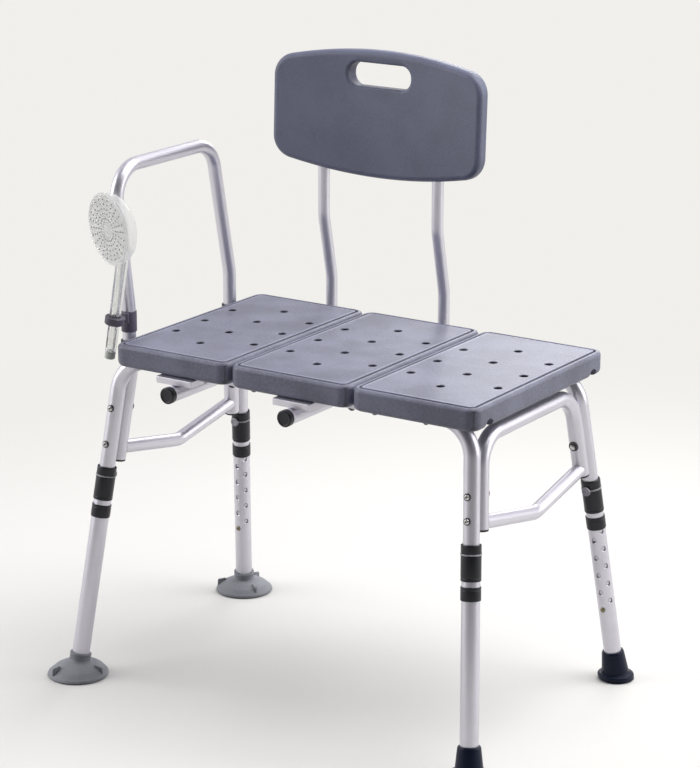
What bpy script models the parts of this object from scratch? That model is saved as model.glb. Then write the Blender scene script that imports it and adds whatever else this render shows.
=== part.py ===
"""Tub transfer bench: three drained seat panels on a splayed tube frame with an armrest and a backrest.

Metres, +Z up, the user sits facing -Y and slides along X. The armrest and the suction feet are at the
-X end, which stands in the bath. The origin is on the floor in the middle of the feet.
"""
import math

import bpy
import bmesh
from mathutils import Matrix, Vector

# seat
seat_height = 0.562
seat_center_x = 0.033
seat_center_y = -0.003
panel_count = 3
panel_width = 0.2184
panel_gap = 0.0037
panel_pitch = panel_width + panel_gap
panel_depth = 0.400
panel_thickness = 0.036
panel_corner = 0.019
panel_edge = 0.005
groove_inset = 0.0095
groove_radius = 0.0013
drain_radius = 0.0066
drain_pitch_x = 0.0765
drain_pitch_y = 0.078

# frame tubes
fit_gap = 0.0003
frame_radius = 0.0127
leg_wall = 0.0013
leg_bore_radius = frame_radius + fit_gap
leg_outer_radius = leg_bore_radius + leg_wall
leg_center_x = 0.0106
splay_x = 0.0905
splay_y = 0.1435
leg_half_x = 0.321039
leg_half_y = 0.154953
foot_half_x = leg_half_x + splay_x * seat_height
foot_half_y = leg_half_y + splay_y * seat_height
bow_height = seat_height - 0.034
bow_bend = 0.058
bow_leg_end = 0.125
channel_width = 0.039
arch_height = bow_height - 0.0278
arch_bend = 0.050
arch_end = 0.3655
receiver_end = 0.3565
receiver_turn = seat_height - 0.062
receiver_top = seat_height - 0.014
brace_radius = 0.0112
brace_end_height = 0.375
brace_dip = 0.345
brace_dip_y = 0.005
plug_thickness = 0.0032

# telescopic legs, heights measured straight up from the floor
leg_bottom = 0.0105
leg_top = 0.347
collar_radius = leg_outer_radius + 0.0014
upper_collar_low = 0.296
upper_collar_high = 0.350
lower_collar_low = 0.267
lower_collar_high = 0.288
ring_height = 0.3355
ring_wire = 0.0011
hole_pitch = 0.0302
lock_pitch = hole_pitch / 2
hole_radius = 0.0033
pin_hole_radius = 0.0035
hole_count = 5
lock_steps = 6
second_column_turn = math.radians(60)
button_radius = 0.0075
button_head = 0.0026
pin_radius = 0.0029
pin_reach = frame_radius - 0.0039
drill_start = leg_bore_radius - 0.004
drill_end = leg_outer_radius + 0.0027

# feet
cup_radius = 0.050
cup_neck_radius = leg_outer_radius + 0.003
cup_neck_top = 0.038
tip_radius = 0.0295
tip_neck_radius = leg_outer_radius + 0.0035
tip_top = 0.050
foot_floor = 0.0102

# backrest
back_center_x = -0.0655
back_width = 0.397
back_middle_height = 0.2064
back_side_height = 0.1584
back_bottom = seat_height + 0.2225
back_corner = 0.0423
back_thickness = 0.028
back_bow = 0.0139
back_lean = math.radians(2.3)
slot_width = 0.1184
slot_height = 0.0386
slot_drop = 0.0395
post_radius = 0.00975
post_spacing = 0.2205
post_jog_low = seat_height + 0.040
post_jog_high = seat_height + 0.146
post_top = back_bottom + 0.1205
post_bend = 0.040
saddle_front_y = seat_center_y - panel_depth / 2 - 0.007
socket_front_y = saddle_front_y - 0.0078
socket_rear_y = seat_center_y + panel_depth / 2 - 0.002
post_lower_y = socket_rear_y + 0.0418
post_upper_y = post_lower_y - 0.0234
back_middle_y = post_upper_y + 0.0018
post_inner_y = 0.075
socket_plug_length = 0.0097
saddle_width = 0.068

# armrest
arm_x = leg_center_x - foot_half_x + splay_x * receiver_turn
arm_radius = 0.011
arm_kink = seat_height + 0.046
arm_top = seat_height + 0.273
arm_front_reach = 0.032
arm_rear_reach = 0.048
arm_bend = 0.050
ferrule_radius = frame_radius + 0.0011
ferrule_low = receiver_top - 0.0105
ferrule_high = receiver_top + 0.005

# hand shower and its holder
holder_height = seat_height + 0.0215
holder_radius = arm_radius + 0.0016
holder_block = 0.034
ring_reach = 0.0496
ring_side = 0.0098
ring_height_above = 0.0131
holder_ring_radius = 0.0155
holder_ring_height = 0.012
neck_radius = 0.0045
neck_height_above = 0.0075
neck_side = 0.004
shower_lean = 0.1822
head_radius = 0.0585
head_turn = math.radians(250.0)
head_tilt = math.radians(8.56)
head_forward = 0.0350
head_up = 0.1549
head_depth = 0.035
handle_low = -0.058

for old in list(bpy.data.objects):
    bpy.data.objects.remove(old, do_unlink=True)

parts = bpy.data.collections.new("tub_transfer_bench")
cutters = bpy.data.collections.new("cutters")
bpy.context.scene.collection.children.link(parts)
bpy.context.scene.collection.children.link(cutters)


def material(name, color, roughness, metallic=0.0):
    """A Principled material of one colour."""
    made = bpy.data.materials.new(name)
    made.use_nodes = True
    shader = made.node_tree.nodes["Principled BSDF"]
    shader.inputs["Base Color"].default_value = (*color, 1.0)
    shader.inputs["Roughness"].default_value = roughness
    shader.inputs["Metallic"].default_value = metallic
    return made


seat_plastic = material("seat_plastic", (0.330, 0.330, 0.400), 0.55)
back_plastic = material("back_plastic", (0.120, 0.125, 0.165), 0.60)
anodised = material("anodised_aluminium", (0.740, 0.730, 0.770), 0.34, 1.0)
black_plastic = material("black_plastic", (0.018, 0.017, 0.022), 0.45)
ring_plastic = material("grey_plastic", (0.400, 0.390, 0.430), 0.45)
cup_rubber = material("grey_rubber", (0.190, 0.195, 0.215), 0.60)
tip_rubber = material("black_rubber", (0.012, 0.014, 0.024), 0.55)
holder_plastic = material("holder_plastic", (0.075, 0.065, 0.090), 0.50)
shower_plastic = material("shower_plastic", (0.640, 0.640, 0.630), 0.40)
nut_plastic = material("nut_plastic", (0.330, 0.350, 0.330), 0.40)


def keep(thing, slot, smooth=True):
    """Put an object in the bench with its material."""
    for home in list(thing.users_collection):
        home.objects.unlink(thing)
    parts.objects.link(thing)
    if slot is not None:
        thing.data.materials.clear()
        thing.data.materials.append(slot)
    for face in thing.data.polygons:
        face.use_smooth = smooth
    return thing


def from_mesh(name, grid, place=None):
    """An object made from a bmesh, placed by a matrix."""
    bmesh.ops.recalc_face_normals(grid, faces=grid.faces[:])
    data = bpy.data.meshes.new(name)
    grid.to_mesh(data)
    grid.free()
    thing = bpy.data.objects.new(name, data)
    parts.objects.link(thing)
    if place is not None:
        thing.matrix_world = place
    return thing


def rounded_path(corners, bends, steps=5):
    """The corners of a bent tube with an arc at each inner corner."""
    path = [Vector(corners[0])]
    for before, corner, after, bend in zip(corners, corners[1:], corners[2:], bends):
        corner = Vector(corner)
        back = (Vector(before) - corner).normalized()
        ahead = (Vector(after) - corner).normalized()
        half = back.angle(ahead) / 2
        run = bend / math.tan(half)
        middle = corner + (back + ahead).normalized() * bend / math.sin(half)
        first = corner + back * run - middle
        last = corner + ahead * run - middle
        turn = first.angle(last)
        count = max(2, round(steps * turn / (math.pi / 2)))
        for step in range(count + 1):
            part = step / count
            arm = first * math.sin((1 - part) * turn) + last * math.sin(part * turn)
            path.append(middle + arm / math.sin(turn))
    path.append(Vector(corners[-1]))
    return path


def rod(name, path, radius, sides=14, closed=False):
    """A round rod along a path, made as a bevelled curve and turned into a mesh."""
    curve = bpy.data.curves.new(name, "CURVE")
    curve.dimensions = "3D"
    curve.twist_mode = "MINIMUM"
    curve.bevel_depth = radius
    curve.bevel_resolution = (sides - 4) // 2
    curve.use_fill_caps = not closed
    line = curve.splines.new("POLY")
    line.points.add(len(path) - 1)
    for point, spot in zip(line.points, path):
        point.co = (*spot, 1.0)
    line.use_cyclic_u = closed
    holder = bpy.data.objects.new(name, curve)
    parts.objects.link(holder)
    graph = bpy.context.evaluated_depsgraph_get()
    data = bpy.data.meshes.new_from_object(holder.evaluated_get(graph))
    bpy.data.objects.remove(holder, do_unlink=True)
    grid = bmesh.new()
    grid.from_mesh(data)
    bpy.data.meshes.remove(data)
    bmesh.ops.remove_doubles(grid, verts=grid.verts[:], dist=0.00001)
    return from_mesh(name, grid)


def turned(name, profile, place=None, sides=16):
    """A body of revolution about local Z from (radius, height) pairs, top to bottom on the outside."""
    data = bpy.data.meshes.new(name)
    edges = [(at, at + 1) for at in range(len(profile) - 1)]
    if profile[0][0] > 0:
        edges.append((len(profile) - 1, 0))
    data.from_pydata([(radius, 0.0, height) for radius, height in profile], edges, [])
    thing = bpy.data.objects.new(name, data)
    parts.objects.link(thing)
    if place is not None:
        thing.matrix_world = place
    screw = thing.modifiers.new("turn", "SCREW")
    screw.axis = "Z"
    screw.steps = sides
    screw.render_steps = sides
    screw.use_merge_vertices = True
    screw.merge_threshold = 0.00001
    screw.use_smooth_shade = True
    return thing


def loft(name, rings, sides=18):
    """A closed skin over circles given as (centre, axis, radius), with flat ends."""
    grid = bmesh.new()
    loops = []
    for center, axis, radius in rings:
        side = Vector((0, 1, 0)).cross(axis).normalized()
        ahead = Vector(axis).cross(side).normalized()
        loop = []
        for step in range(sides):
            turn = 2 * math.pi * step / sides
            spot = Vector(center) + (side * math.cos(turn) + ahead * math.sin(turn)) * radius
            loop.append(grid.verts.new(spot))
        loops.append(loop)
    for low, high in zip(loops, loops[1:]):
        for step in range(sides):
            after = (step + 1) % sides
            grid.faces.new((low[step], low[after], high[after], high[step]))
    grid.faces.new(loops[0][::-1])
    grid.faces.new(loops[-1])
    return from_mesh(name, grid)


def rounded_outline(width, depth, corner, steps=4):
    """The outline of a rectangle with round corners, counter-clockwise."""
    points = []
    for quarter in range(4):
        sign_x = 1 if quarter in (0, 3) else -1
        sign_y = 1 if quarter in (0, 1) else -1
        for step in range(steps + 1):
            turn = math.pi / 2 * (quarter + step / steps)
            x = sign_x * (width / 2 - corner) + corner * math.cos(turn)
            y = sign_y * (depth / 2 - corner) + corner * math.sin(turn)
            points.append((x, y))
    return points


def slab(name, outline, low, high, place=None, edge=0.0, segments=2):
    """A flat plate with a given outline between two heights, its rims rounded by a bevel."""
    grid = bmesh.new()
    bottom = [grid.verts.new((x, y, low)) for x, y in outline]
    top = [grid.verts.new((x, y, high)) for x, y in outline]
    grid.faces.new(bottom[::-1])
    grid.faces.new(top)
    for step in range(len(outline)):
        after = (step + 1) % len(outline)
        grid.faces.new((bottom[step], bottom[after], top[after], top[step]))
    thing = from_mesh(name, grid, place)
    if edge:
        bevel = thing.modifiers.new("rim", "BEVEL")
        bevel.width = edge
        bevel.segments = segments
        bevel.limit_method = "ANGLE"
        bevel.angle_limit = math.radians(50)
    return thing


def cut(target, cutter, operation="DIFFERENCE"):
    """Take one solid out of another."""
    for home in list(cutter.users_collection):
        home.objects.unlink(cutter)
    if cutter.name not in cutters.objects:
        cutters.objects.link(cutter)
    cutter.hide_render = True
    cutter.display_type = "WIRE"
    step = target.modifiers.new(cutter.name, "BOOLEAN")
    step.operation = operation
    step.solver = "EXACT"
    step.object = cutter
    return target


def settle(thing):
    """Replace an object's mesh by what its modifiers give."""
    bpy.context.view_layer.update()
    graph = bpy.context.evaluated_depsgraph_get()
    data = bpy.data.meshes.new_from_object(thing.evaluated_get(graph))
    thing.modifiers.clear()
    thing.data = data
    return thing


def frame_of(origin, up, front):
    """A matrix with local Z along up and local X as near to front as it can be."""
    z = Vector(up).normalized()
    x = (Vector(front) - z * Vector(front).dot(z)).normalized()
    y = z.cross(x)
    turn = Matrix((x, y, z)).transposed().to_4x4()
    return Matrix.Translation(Vector(origin)) @ turn


def cylinder(name, start, end, radius, sides=8):
    """A plain rod between two points."""
    return rod(name, [Vector(start), Vector(end)], radius, sides)


def leg_spot(side, end, height, inward=0.0):
    """A point on a leg axis at a height, moved inward along Y for the tubes beside the leg."""
    x = leg_center_x + side * (foot_half_x - splay_x * height)
    y = end * (foot_half_y - splay_y * height - inward)
    return Vector((x, y, height))


def joined_cutter(name, pieces):
    """Several separate cutters as one object."""
    grid = bmesh.new()
    for piece in pieces:
        whole = piece.data.copy()
        whole.transform(piece.matrix_world)
        grid.from_mesh(whole)
        bpy.data.meshes.remove(whole)
        bpy.data.objects.remove(piece, do_unlink=True)
    return from_mesh(name, grid)


# distance along Y between the axes of two tubes that lie side by side in a splayed plane
side_step = (2 * frame_radius + fit_gap) * math.hypot(1, splay_y)
axis_stretch = math.sqrt(1 + splay_x ** 2 + splay_y ** 2)

# seat panels
panel_names = ("seat_panel_left", "seat_panel_middle", "seat_panel_right")
seat_bottom = seat_height - panel_thickness
channel_top = bow_height + frame_radius + fit_gap
for number, name in enumerate(panel_names):
    center_x = seat_center_x + (number - 1) * panel_pitch
    outline = rounded_outline(panel_width, panel_depth, panel_corner)
    place = Matrix.Translation((center_x, seat_center_y, seat_height))
    panel = slab(name, outline, -panel_thickness, 0.0, place, panel_edge)
    groove_path = rounded_outline(panel_width - 2 * groove_inset, panel_depth - 2 * groove_inset,
                                  panel_corner - groove_inset + 0.004, 3)
    groove = rod("groove_" + name, [Vector((x + center_x, y + seat_center_y, seat_height))
                                    for x, y in groove_path], groove_radius, 6, closed=True)
    drains = []
    for column in (-1, 0, 1):
        rows = (-1.5, -0.5, 0.5, 1.5) if column == 0 else (-1, 0, 1)
        for row in rows:
            x = center_x + column * drain_pitch_x
            y = seat_center_y + row * drain_pitch_y
            low = (x, y, seat_bottom - 0.002)
            high = (x, y, seat_height + 0.002)
            drains.append(cylinder("drain", low, high, drain_radius, 8))
    channels = []
    for end in (-1, 1):
        bow_y = end * (foot_half_y - splay_y * bow_height)
        half = (channel_top - seat_bottom + 0.004) / 2
        grid = bmesh.new()
        bmesh.ops.create_cube(grid, size=1.0)
        bmesh.ops.scale(grid, vec=(panel_width + 0.01, channel_width, 2 * half), verts=grid.verts[:])
        top_edges = [edge for edge in grid.edges
                     if all(v.co.z > 0 for v in edge.verts) and abs(edge.verts[0].co.x - edge.verts[1].co.x) > 0.1]
        bmesh.ops.bevel(grid, geom=top_edges, offset=0.008, segments=2, affect="EDGES", profile=0.5)
        channels.append(from_mesh("channel", grid, Matrix.Translation((center_x, bow_y, channel_top - half))))
    bpy.context.view_layer.update()
    cut(panel, groove)
    cut(panel, joined_cutter("drains_" + name, drains))
    cut(panel, joined_cutter("channels_" + name, channels))
    keep(panel, seat_plastic)

# bows: two legs and the run under the seat, one tube each
for name, end in (("front_bow", -1), ("rear_bow", 1)):
    corners = [leg_spot(-1, end, bow_leg_end), leg_spot(-1, end, bow_height),
               leg_spot(1, end, bow_height), leg_spot(1, end, bow_leg_end)]
    bow = rod(name, rounded_path(corners, (bow_bend, bow_bend)), frame_radius)
    pin_holes = []
    for side in (-1, 1):
        for step in range(lock_steps + 1):
            height = ring_height - step * lock_pitch
            middle = leg_spot(side, end, height)
            axis = Vector((-side * splay_x, -end * splay_y, 1)).normalized()
            out = (Vector((0, -end, 0)) - axis * axis.dot(Vector((0, -end, 0)))).normalized()
            pin_holes.append(cylinder("pin_hole", middle + out * (frame_radius - 0.0067),
                                      middle + out * (frame_radius + 0.0033), pin_hole_radius, 6))
    cut(bow, joined_cutter("pin_holes_" + name, pin_holes))
    keep(bow, anodised)

# the arch at the open end stands beside the bow legs, inside them
corners = [leg_spot(1, -1, arch_end, side_step), leg_spot(1, -1, arch_height, side_step),
           leg_spot(1, 1, arch_height, side_step), leg_spot(1, 1, arch_end, side_step)]
arch = keep(rod("end_arch", rounded_path(corners, (arch_bend, arch_bend), 6), frame_radius), anodised)

# the receivers at the armrest end start beside the legs and turn upright outside the seat
receivers = {}
for name, end in (("arm_receiver_front", -1), ("arm_receiver_rear", 1)):
    turn_spot = leg_spot(-1, end, receiver_turn, side_step)
    top_spot = Vector((turn_spot.x, turn_spot.y, receiver_top))
    path = rounded_path([leg_spot(-1, end, receiver_end, side_step), turn_spot, top_spot], (0.11,), 14)
    receivers[end] = rod(name, path, frame_radius)
    bore = cylinder("bore_" + name, turn_spot + Vector((0, 0, 0.016)), top_spot + Vector((0, 0, 0.002)),
                    arm_radius + fit_gap, 16)
    cut(receivers[end], bore)
    keep(receivers[end], anodised)
arm_y = abs(leg_spot(-1, 1, receiver_turn, side_step).y)

# dipped braces, coped round the tubes they meet
for name, side in (("brace_left", -1), ("brace_right", 1)):
    x_dip = leg_spot(side, 1, brace_dip).x
    corners = [leg_spot(side, -1, brace_end_height, side_step), Vector((x_dip, brace_dip_y, brace_dip)),
               leg_spot(side, 1, brace_end_height, side_step)]
    brace = rod(name, rounded_path(corners, (0.045,), 14), brace_radius, 12)
    for end in (-1, 1):
        low = leg_spot(side, end, brace_end_height - 0.05, side_step)
        high = leg_spot(side, end, brace_end_height + 0.05, side_step)
        cut(brace, cylinder("cope_" + name, low, high, frame_radius + fit_gap, 16))
    keep(brace, anodised)

# plugs in the open lower ends of the arch and the receivers
plug_spots = (("end_plug_right_front", 1, -1, arch_end), ("end_plug_right_rear", 1, 1, arch_end),
              ("end_plug_left_front", -1, -1, receiver_end), ("end_plug_left_rear", -1, 1, receiver_end))
for name, side, end, height in plug_spots:
    axis = Vector((-side * splay_x, -end * splay_y, 1)).normalized()
    place = frame_of(leg_spot(side, end, height, side_step) - axis * fit_gap, axis, (1, 0, 0))
    plug = turned(name, [(0, 0), (frame_radius, 0), (frame_radius, -plug_thickness + 0.001),
                         (frame_radius - 0.0015, -plug_thickness), (0, -plug_thickness)], place, 12)
    keep(plug, black_plastic)

# legs
leg_names = {(-1, -1): "left_front", (-1, 1): "left_rear", (1, -1): "right_front", (1, 1): "right_rear"}
for (side, end), name in leg_names.items():
    axis = Vector((-side * splay_x, -end * splay_y, 1)).normalized()
    foot = leg_spot(side, end, 0.0)
    place = frame_of(foot, axis, (0, -end, 0))
    reach = axis_stretch

    tube = turned("leg_tube_" + name,
                  [(leg_outer_radius, leg_top * reach), (leg_outer_radius, leg_bottom * reach),
                   (leg_bore_radius, leg_bottom * reach), (leg_bore_radius, leg_top * reach)], place)
    settle(tube)
    holes = []
    for column, turn in ((0, 0.0), (1, second_column_turn)):
        out = Vector((math.cos(turn), math.sin(turn), 0))
        for step in range(hole_count):
            height = (ring_height - (3 + step) * hole_pitch + column * hole_pitch / 2 + 0.004) * reach
            middle = Vector((0, 0, height))
            holes.append(cylinder("hole", place @ (middle + out * drill_start), place @ (middle + out * drill_end),
                                  hole_radius, 6))
    top = Vector((0, 0, ring_height * reach))
    out = Vector((1, 0, 0))
    holes.append(cylinder("hole", place @ (top + out * drill_start), place @ (top + out * drill_end), hole_radius))
    cut(tube, joined_cutter("holes_" + name, holes))
    keep(tube, anodised)

    low = upper_collar_low * reach
    high = upper_collar_high * reach
    ring_at = ring_height * reach
    inner = leg_outer_radius + fit_gap
    upper = turned("upper_collar_" + name,
                   [(collar_radius - 0.0004, high), (collar_radius, high - 0.001),
                    (collar_radius, ring_at + 0.0016), (collar_radius - 0.0006, ring_at + 0.0013),
                    (collar_radius - 0.0006, ring_at - 0.0013), (collar_radius, ring_at - 0.0016),
                    (collar_radius, low + 0.001), (collar_radius - 0.0004, low),
                    (inner, low), (inner, high)], place)
    settle(upper)
    cut(upper, cylinder("collar_hole_" + name, place @ (top + out * (leg_bore_radius - 0.001)),
                        place @ (top + out * (collar_radius + 0.0023)),
                        hole_radius))
    keep(upper, black_plastic)

    low = lower_collar_low * reach
    high = lower_collar_high * reach
    lower = turned("lower_collar_" + name,
                   [(collar_radius - 0.0004, high), (collar_radius, high - 0.001),
                    (collar_radius, low + 0.001), (collar_radius - 0.0004, low),
                    (inner, low), (inner, high)], place)
    keep(lower, black_plastic)

    arc_steps = 16
    hoop = (collar_radius - 0.0006 + fit_gap) / math.cos(math.pi / arc_steps) + ring_wire
    opening = math.asin((pin_radius + 0.0022) / hoop)
    arc = []
    for step in range(arc_steps + 1):
        turn = opening + (2 * math.pi - 2 * opening) * step / arc_steps
        arc.append(place @ Vector((hoop * math.cos(turn), hoop * math.sin(turn), ring_at)))
    keep(rod("lock_ring_" + name, arc, ring_wire, 4), ring_plastic)

    head = hoop + ring_wire + fit_gap
    pin_place = place @ frame_of(top, (1, 0, 0), (0, 0, 1))
    button = turned("lock_button_" + name,
                    [(0, head + button_head), (button_radius - 0.001, head + button_head),
                     (button_radius, head + button_head - 0.001), (button_radius, head),
                     (pin_radius, head), (pin_radius, pin_reach + 0.0006), (pin_radius - 0.0006, pin_reach),
                     (0, pin_reach)], pin_place, 12)
    keep(button, ring_plastic)

    up = Vector((0, 0, 1))
    bore = leg_outer_radius + fit_gap

    def center(height):
        return leg_spot(side, end, height) - foot

    if side < 0:
        rings = [(center(0), up, cup_radius - 0.002), (center(0.0025), up, cup_radius),
                 (center(0.006), up, cup_radius - 0.0015), (center(0.014), up, cup_radius - 0.010),
                 (center(0.020), up, cup_radius - 0.021), (center(0.0235), up.lerp(axis, 0.5), cup_neck_radius + 0.002),
                 (center(0.026), axis, cup_neck_radius), (center(cup_neck_top), axis, cup_neck_radius),
                 (center(cup_neck_top), axis, bore), (center(foot_floor), axis, bore)]
        rubber = cup_rubber
        foot_name = "suction_foot_" + name
    else:
        rings = [(center(0), up, tip_radius - 0.002), (center(0.002), up, tip_radius),
                 (center(0.009), up, tip_radius - 0.001), (center(0.0105), up, tip_radius - 0.004),
                 (center(0.0135), up.lerp(axis, 0.5), tip_neck_radius + 0.0055),
                 (center(tip_top - 0.001), axis, tip_neck_radius), (center(tip_top), axis, tip_neck_radius - 0.001),
                 (center(tip_top), axis, bore), (center(foot_floor), axis, bore)]
        rubber = tip_rubber
        foot_name = "rubber_tip_" + name
    shoe = loft(foot_name, rings)
    shoe.location = foot
    if side < 0:
        for tab_turn in (math.radians(-125), math.radians(55)):
            spot = Vector((math.cos(tab_turn), math.sin(tab_turn), 0)) * 0.040
            tab_place = Matrix.Translation(foot + spot) @ Matrix.Rotation(tab_turn, 4, "Z")
            tab = slab("tab_" + name, rounded_outline(0.004, 0.009, 0.0015, 1), 0.006, 0.026, tab_place)
            cut(shoe, tab, "UNION")
    keep(shoe, rubber)

# backrest sockets under the seat, their front plugs and the saddles in front of the front bow
socket_height = bow_height - 2 * frame_radius - fit_gap
socket_bore = post_radius + fit_gap
for name, side in (("left", -1), ("right", 1)):
    x = back_center_x + side * post_spacing / 2
    place = frame_of((x, 0, socket_height), (0, 1, 0), (1, 0, 0))
    socket = turned("back_socket_" + name,
                    [(frame_radius, socket_rear_y), (frame_radius, socket_front_y),
                     (socket_bore, socket_front_y), (socket_bore, socket_rear_y)], place)
    keep(socket, anodised)
    plug_back = socket_front_y - fit_gap
    plug = turned("socket_plug_" + name,
                  [(0, socket_front_y + 0.018), (socket_bore - fit_gap, socket_front_y + 0.018),
                   (socket_bore - fit_gap, plug_back), (frame_radius + 0.0006, plug_back),
                   (frame_radius + 0.0006, plug_back - socket_plug_length + 0.0015),
                   (frame_radius - 0.001, plug_back - socket_plug_length), (0, plug_back - socket_plug_length)],
                  place)
    keep(plug, black_plastic)
    bow_front = -(foot_half_y - splay_y * bow_height) - frame_radius
    depth = bow_front - 0.0004 - saddle_front_y
    saddle = slab("socket_saddle_" + name, rounded_outline(saddle_width, depth, 0.003, 2),
                  socket_height + frame_radius + fit_gap, seat_bottom - fit_gap,
                  Matrix.Translation((x, saddle_front_y + depth / 2, 0)), 0.0012, 1)
    keep(saddle, anodised, False)

# backrest panel with its hand slot and the blind bores for the posts
rise = (back_middle_height - back_side_height) / 2
half_width = back_width / 2
arc_half = half_width - back_corner
arc_radius = (half_width ** 2 + rise ** 2) / (2 * rise)
quarter = []
for step in range(5):
    x = arc_half * step / 4
    quarter.append((x, back_middle_height / 2 - arc_radius + math.sqrt(arc_radius ** 2 - x ** 2)))
slope = -arc_half / math.sqrt(arc_radius ** 2 - arc_half ** 2)
shoulder = quarter[-1][1] + slope * (half_width - arc_half)
fillet = rounded_path([(arc_half - 0.01, quarter[-1][1] - slope * 0.01, 0), (half_width, shoulder, 0),
                       (half_width, 0, 0)], (back_corner * 0.88,), 5)
quarter += [(spot.x, spot.y) for spot in fillet[1:-1]]
right = quarter[1:] + [(x, -y) for x, y in reversed(quarter)]
outline = [quarter[0]] + right + [(-x, -y) for x, y in quarter[1:]] + [(-x, y) for x, y in reversed(quarter[1:])]
back_middle_z = back_bottom + back_middle_height / 2
back_front = Vector((0, -math.cos(back_lean), math.sin(back_lean)))
back_place = frame_of((back_center_x, back_middle_y, back_middle_z), back_front, (1, 0, 0))
backrest = slab("backrest_panel", outline, -back_thickness / 2, back_thickness / 2, back_place, 0.006)

# the panel is bowed round the user's back: it is cut into strips, and each strip is set at its own slope
knots = [-1, -0.72, -0.4, 0, 0.4, 0.72, 1]
grid = bmesh.new()
grid.from_mesh(backrest.data)
for knot in knots[1:-1]:
    bmesh.ops.bisect_plane(grid, geom=grid.verts[:] + grid.edges[:] + grid.faces[:],
                           plane_co=(knot * half_width, 0, 0), plane_no=(1, 0, 0), dist=0.00001)
for vert in grid.verts:
    at = vert.co.x / half_width
    for low_knot, high_knot in zip(knots, knots[1:]):
        if at <= high_knot + 0.001:
            share = (at - low_knot) / (high_knot - low_knot)
            forward = low_knot ** 2 * (1 - share) + high_knot ** 2 * share
            break
    vert.co.z += back_bow * (forward - 1 / 3)
grid.to_mesh(backrest.data)
grid.free()

slot_y = back_middle_height / 2 - slot_drop
slot = slab("hand_slot", [(x, y + slot_y) for x, y in rounded_outline(slot_width, slot_height, 0.0185, 3)],
            -0.03, 0.03, back_place)
bores = []
for side in (-1, 1):
    x = back_center_x + side * post_spacing / 2
    bores.append(cylinder("post_bore", (x, post_upper_y, back_bottom - 0.02),
                          (x, post_upper_y, post_top + 0.001), post_radius + fit_gap, 16))
bpy.context.view_layer.update()
cut(backrest, slot)
cut(backrest, joined_cutter("post_bores", bores))
keep(backrest, back_plastic)

for name, side in (("left", -1), ("right", 1)):
    x = back_center_x + side * post_spacing / 2
    corners = [(x, post_inner_y, socket_height), (x, post_lower_y, socket_height),
               (x, post_lower_y, post_jog_low), (x, post_upper_y, post_jog_high), (x, post_upper_y, post_top)]
    path = rounded_path(corners, (post_bend, 0.06, 0.06), 6)
    keep(rod("back_post_" + name, path, post_radius, 14), anodised)

# armrest hoop and the ferrules over its sockets
post_foot = receiver_turn + 0.0163
corners = [(arm_x, -arm_y, post_foot), (arm_x, -arm_y, arm_kink),
           (arm_x, -arm_y - arm_front_reach, arm_top), (arm_x, arm_y - arm_rear_reach, arm_top),
           (arm_x, arm_y, arm_kink), (arm_x, arm_y, post_foot)]
hoop_path = rounded_path(corners, (0.08, arm_bend, arm_bend, 0.08), 6)
keep(rod("armrest_hoop", hoop_path, arm_radius), anodised)
for name, end in (("front", -1), ("rear", 1)):
    ferrule = turned("arm_ferrule_" + name,
                     [(ferrule_radius - 0.001, ferrule_high), (ferrule_radius, ferrule_high - 0.001),
                      (ferrule_radius, ferrule_low), (frame_radius + fit_gap, ferrule_low),
                      (frame_radius + fit_gap, receiver_top + fit_gap),
                      (arm_radius + fit_gap, receiver_top + fit_gap), (arm_radius + fit_gap, ferrule_high)],
                     Matrix.Translation((arm_x, end * arm_y, 0)))
    keep(ferrule, black_plastic)

# shower holder on the front post: a block round the post and a ring that tilts in front of it
post = Vector((arm_x, -arm_y, holder_height))
clamp = turned("holder_clamp",
               [(holder_radius - 0.0008, holder_block / 2), (holder_radius, holder_block / 2 - 0.0008),
                (holder_radius, 0.0008 - holder_block / 2), (holder_radius - 0.0008, -holder_block / 2),
                (arm_radius + fit_gap, -holder_block / 2), (arm_radius + fit_gap, holder_block / 2)],
               Matrix.Translation(post))
settle(clamp)
boss_low = neck_radius + 0.004
boss_front = 0.0175
boss = slab("holder_boss", rounded_outline(2 * boss_low, boss_front - arm_radius - 0.0008, 0.003, 2),
            neck_height_above - boss_low, neck_height_above + boss_low,
            Matrix.Translation(post + Vector((neck_side / 2, -(boss_front + arm_radius + 0.0008) / 2, 0))),
            0.001, 1)
settle(boss)
cut(clamp, boss, "UNION")
keep(clamp, holder_plastic)

grip = post + Vector((ring_side, -ring_reach, ring_height_above))
lean = Vector((shower_lean, 0, 1)).normalized()
hand = frame_of(grip, lean, (math.cos(head_turn), math.sin(head_turn), 0))


def handle_radius(along):
    """The handle tapers down from the head to the nut."""
    return 0.0092 + 0.008 * along


half_ring = holder_ring_height / 2
holder_ring = turned("holder_ring",
                     [(holder_ring_radius - 0.0008, half_ring), (holder_ring_radius, half_ring - 0.0008),
                      (holder_ring_radius, -half_ring + 0.0008), (holder_ring_radius - 0.0008, -half_ring),
                      (handle_radius(-half_ring) + fit_gap, -half_ring),
                      (handle_radius(half_ring) + fit_gap, half_ring)], None, 18)
settle(holder_ring)
neck_start = post + Vector((neck_side, -boss_front - fit_gap, neck_height_above))
neck_end = Vector((neck_start.x, grip.y + holder_ring_radius - 0.003, neck_start.z))
neck = cylinder("holder_neck", neck_start, neck_end, neck_radius, 12)
holder_ring.matrix_world = Matrix.Translation(neck_start)
holder_ring.data.transform(holder_ring.matrix_world.inverted() @ hand)
cut(holder_ring, neck, "UNION")
keep(holder_ring, holder_plastic)

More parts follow.
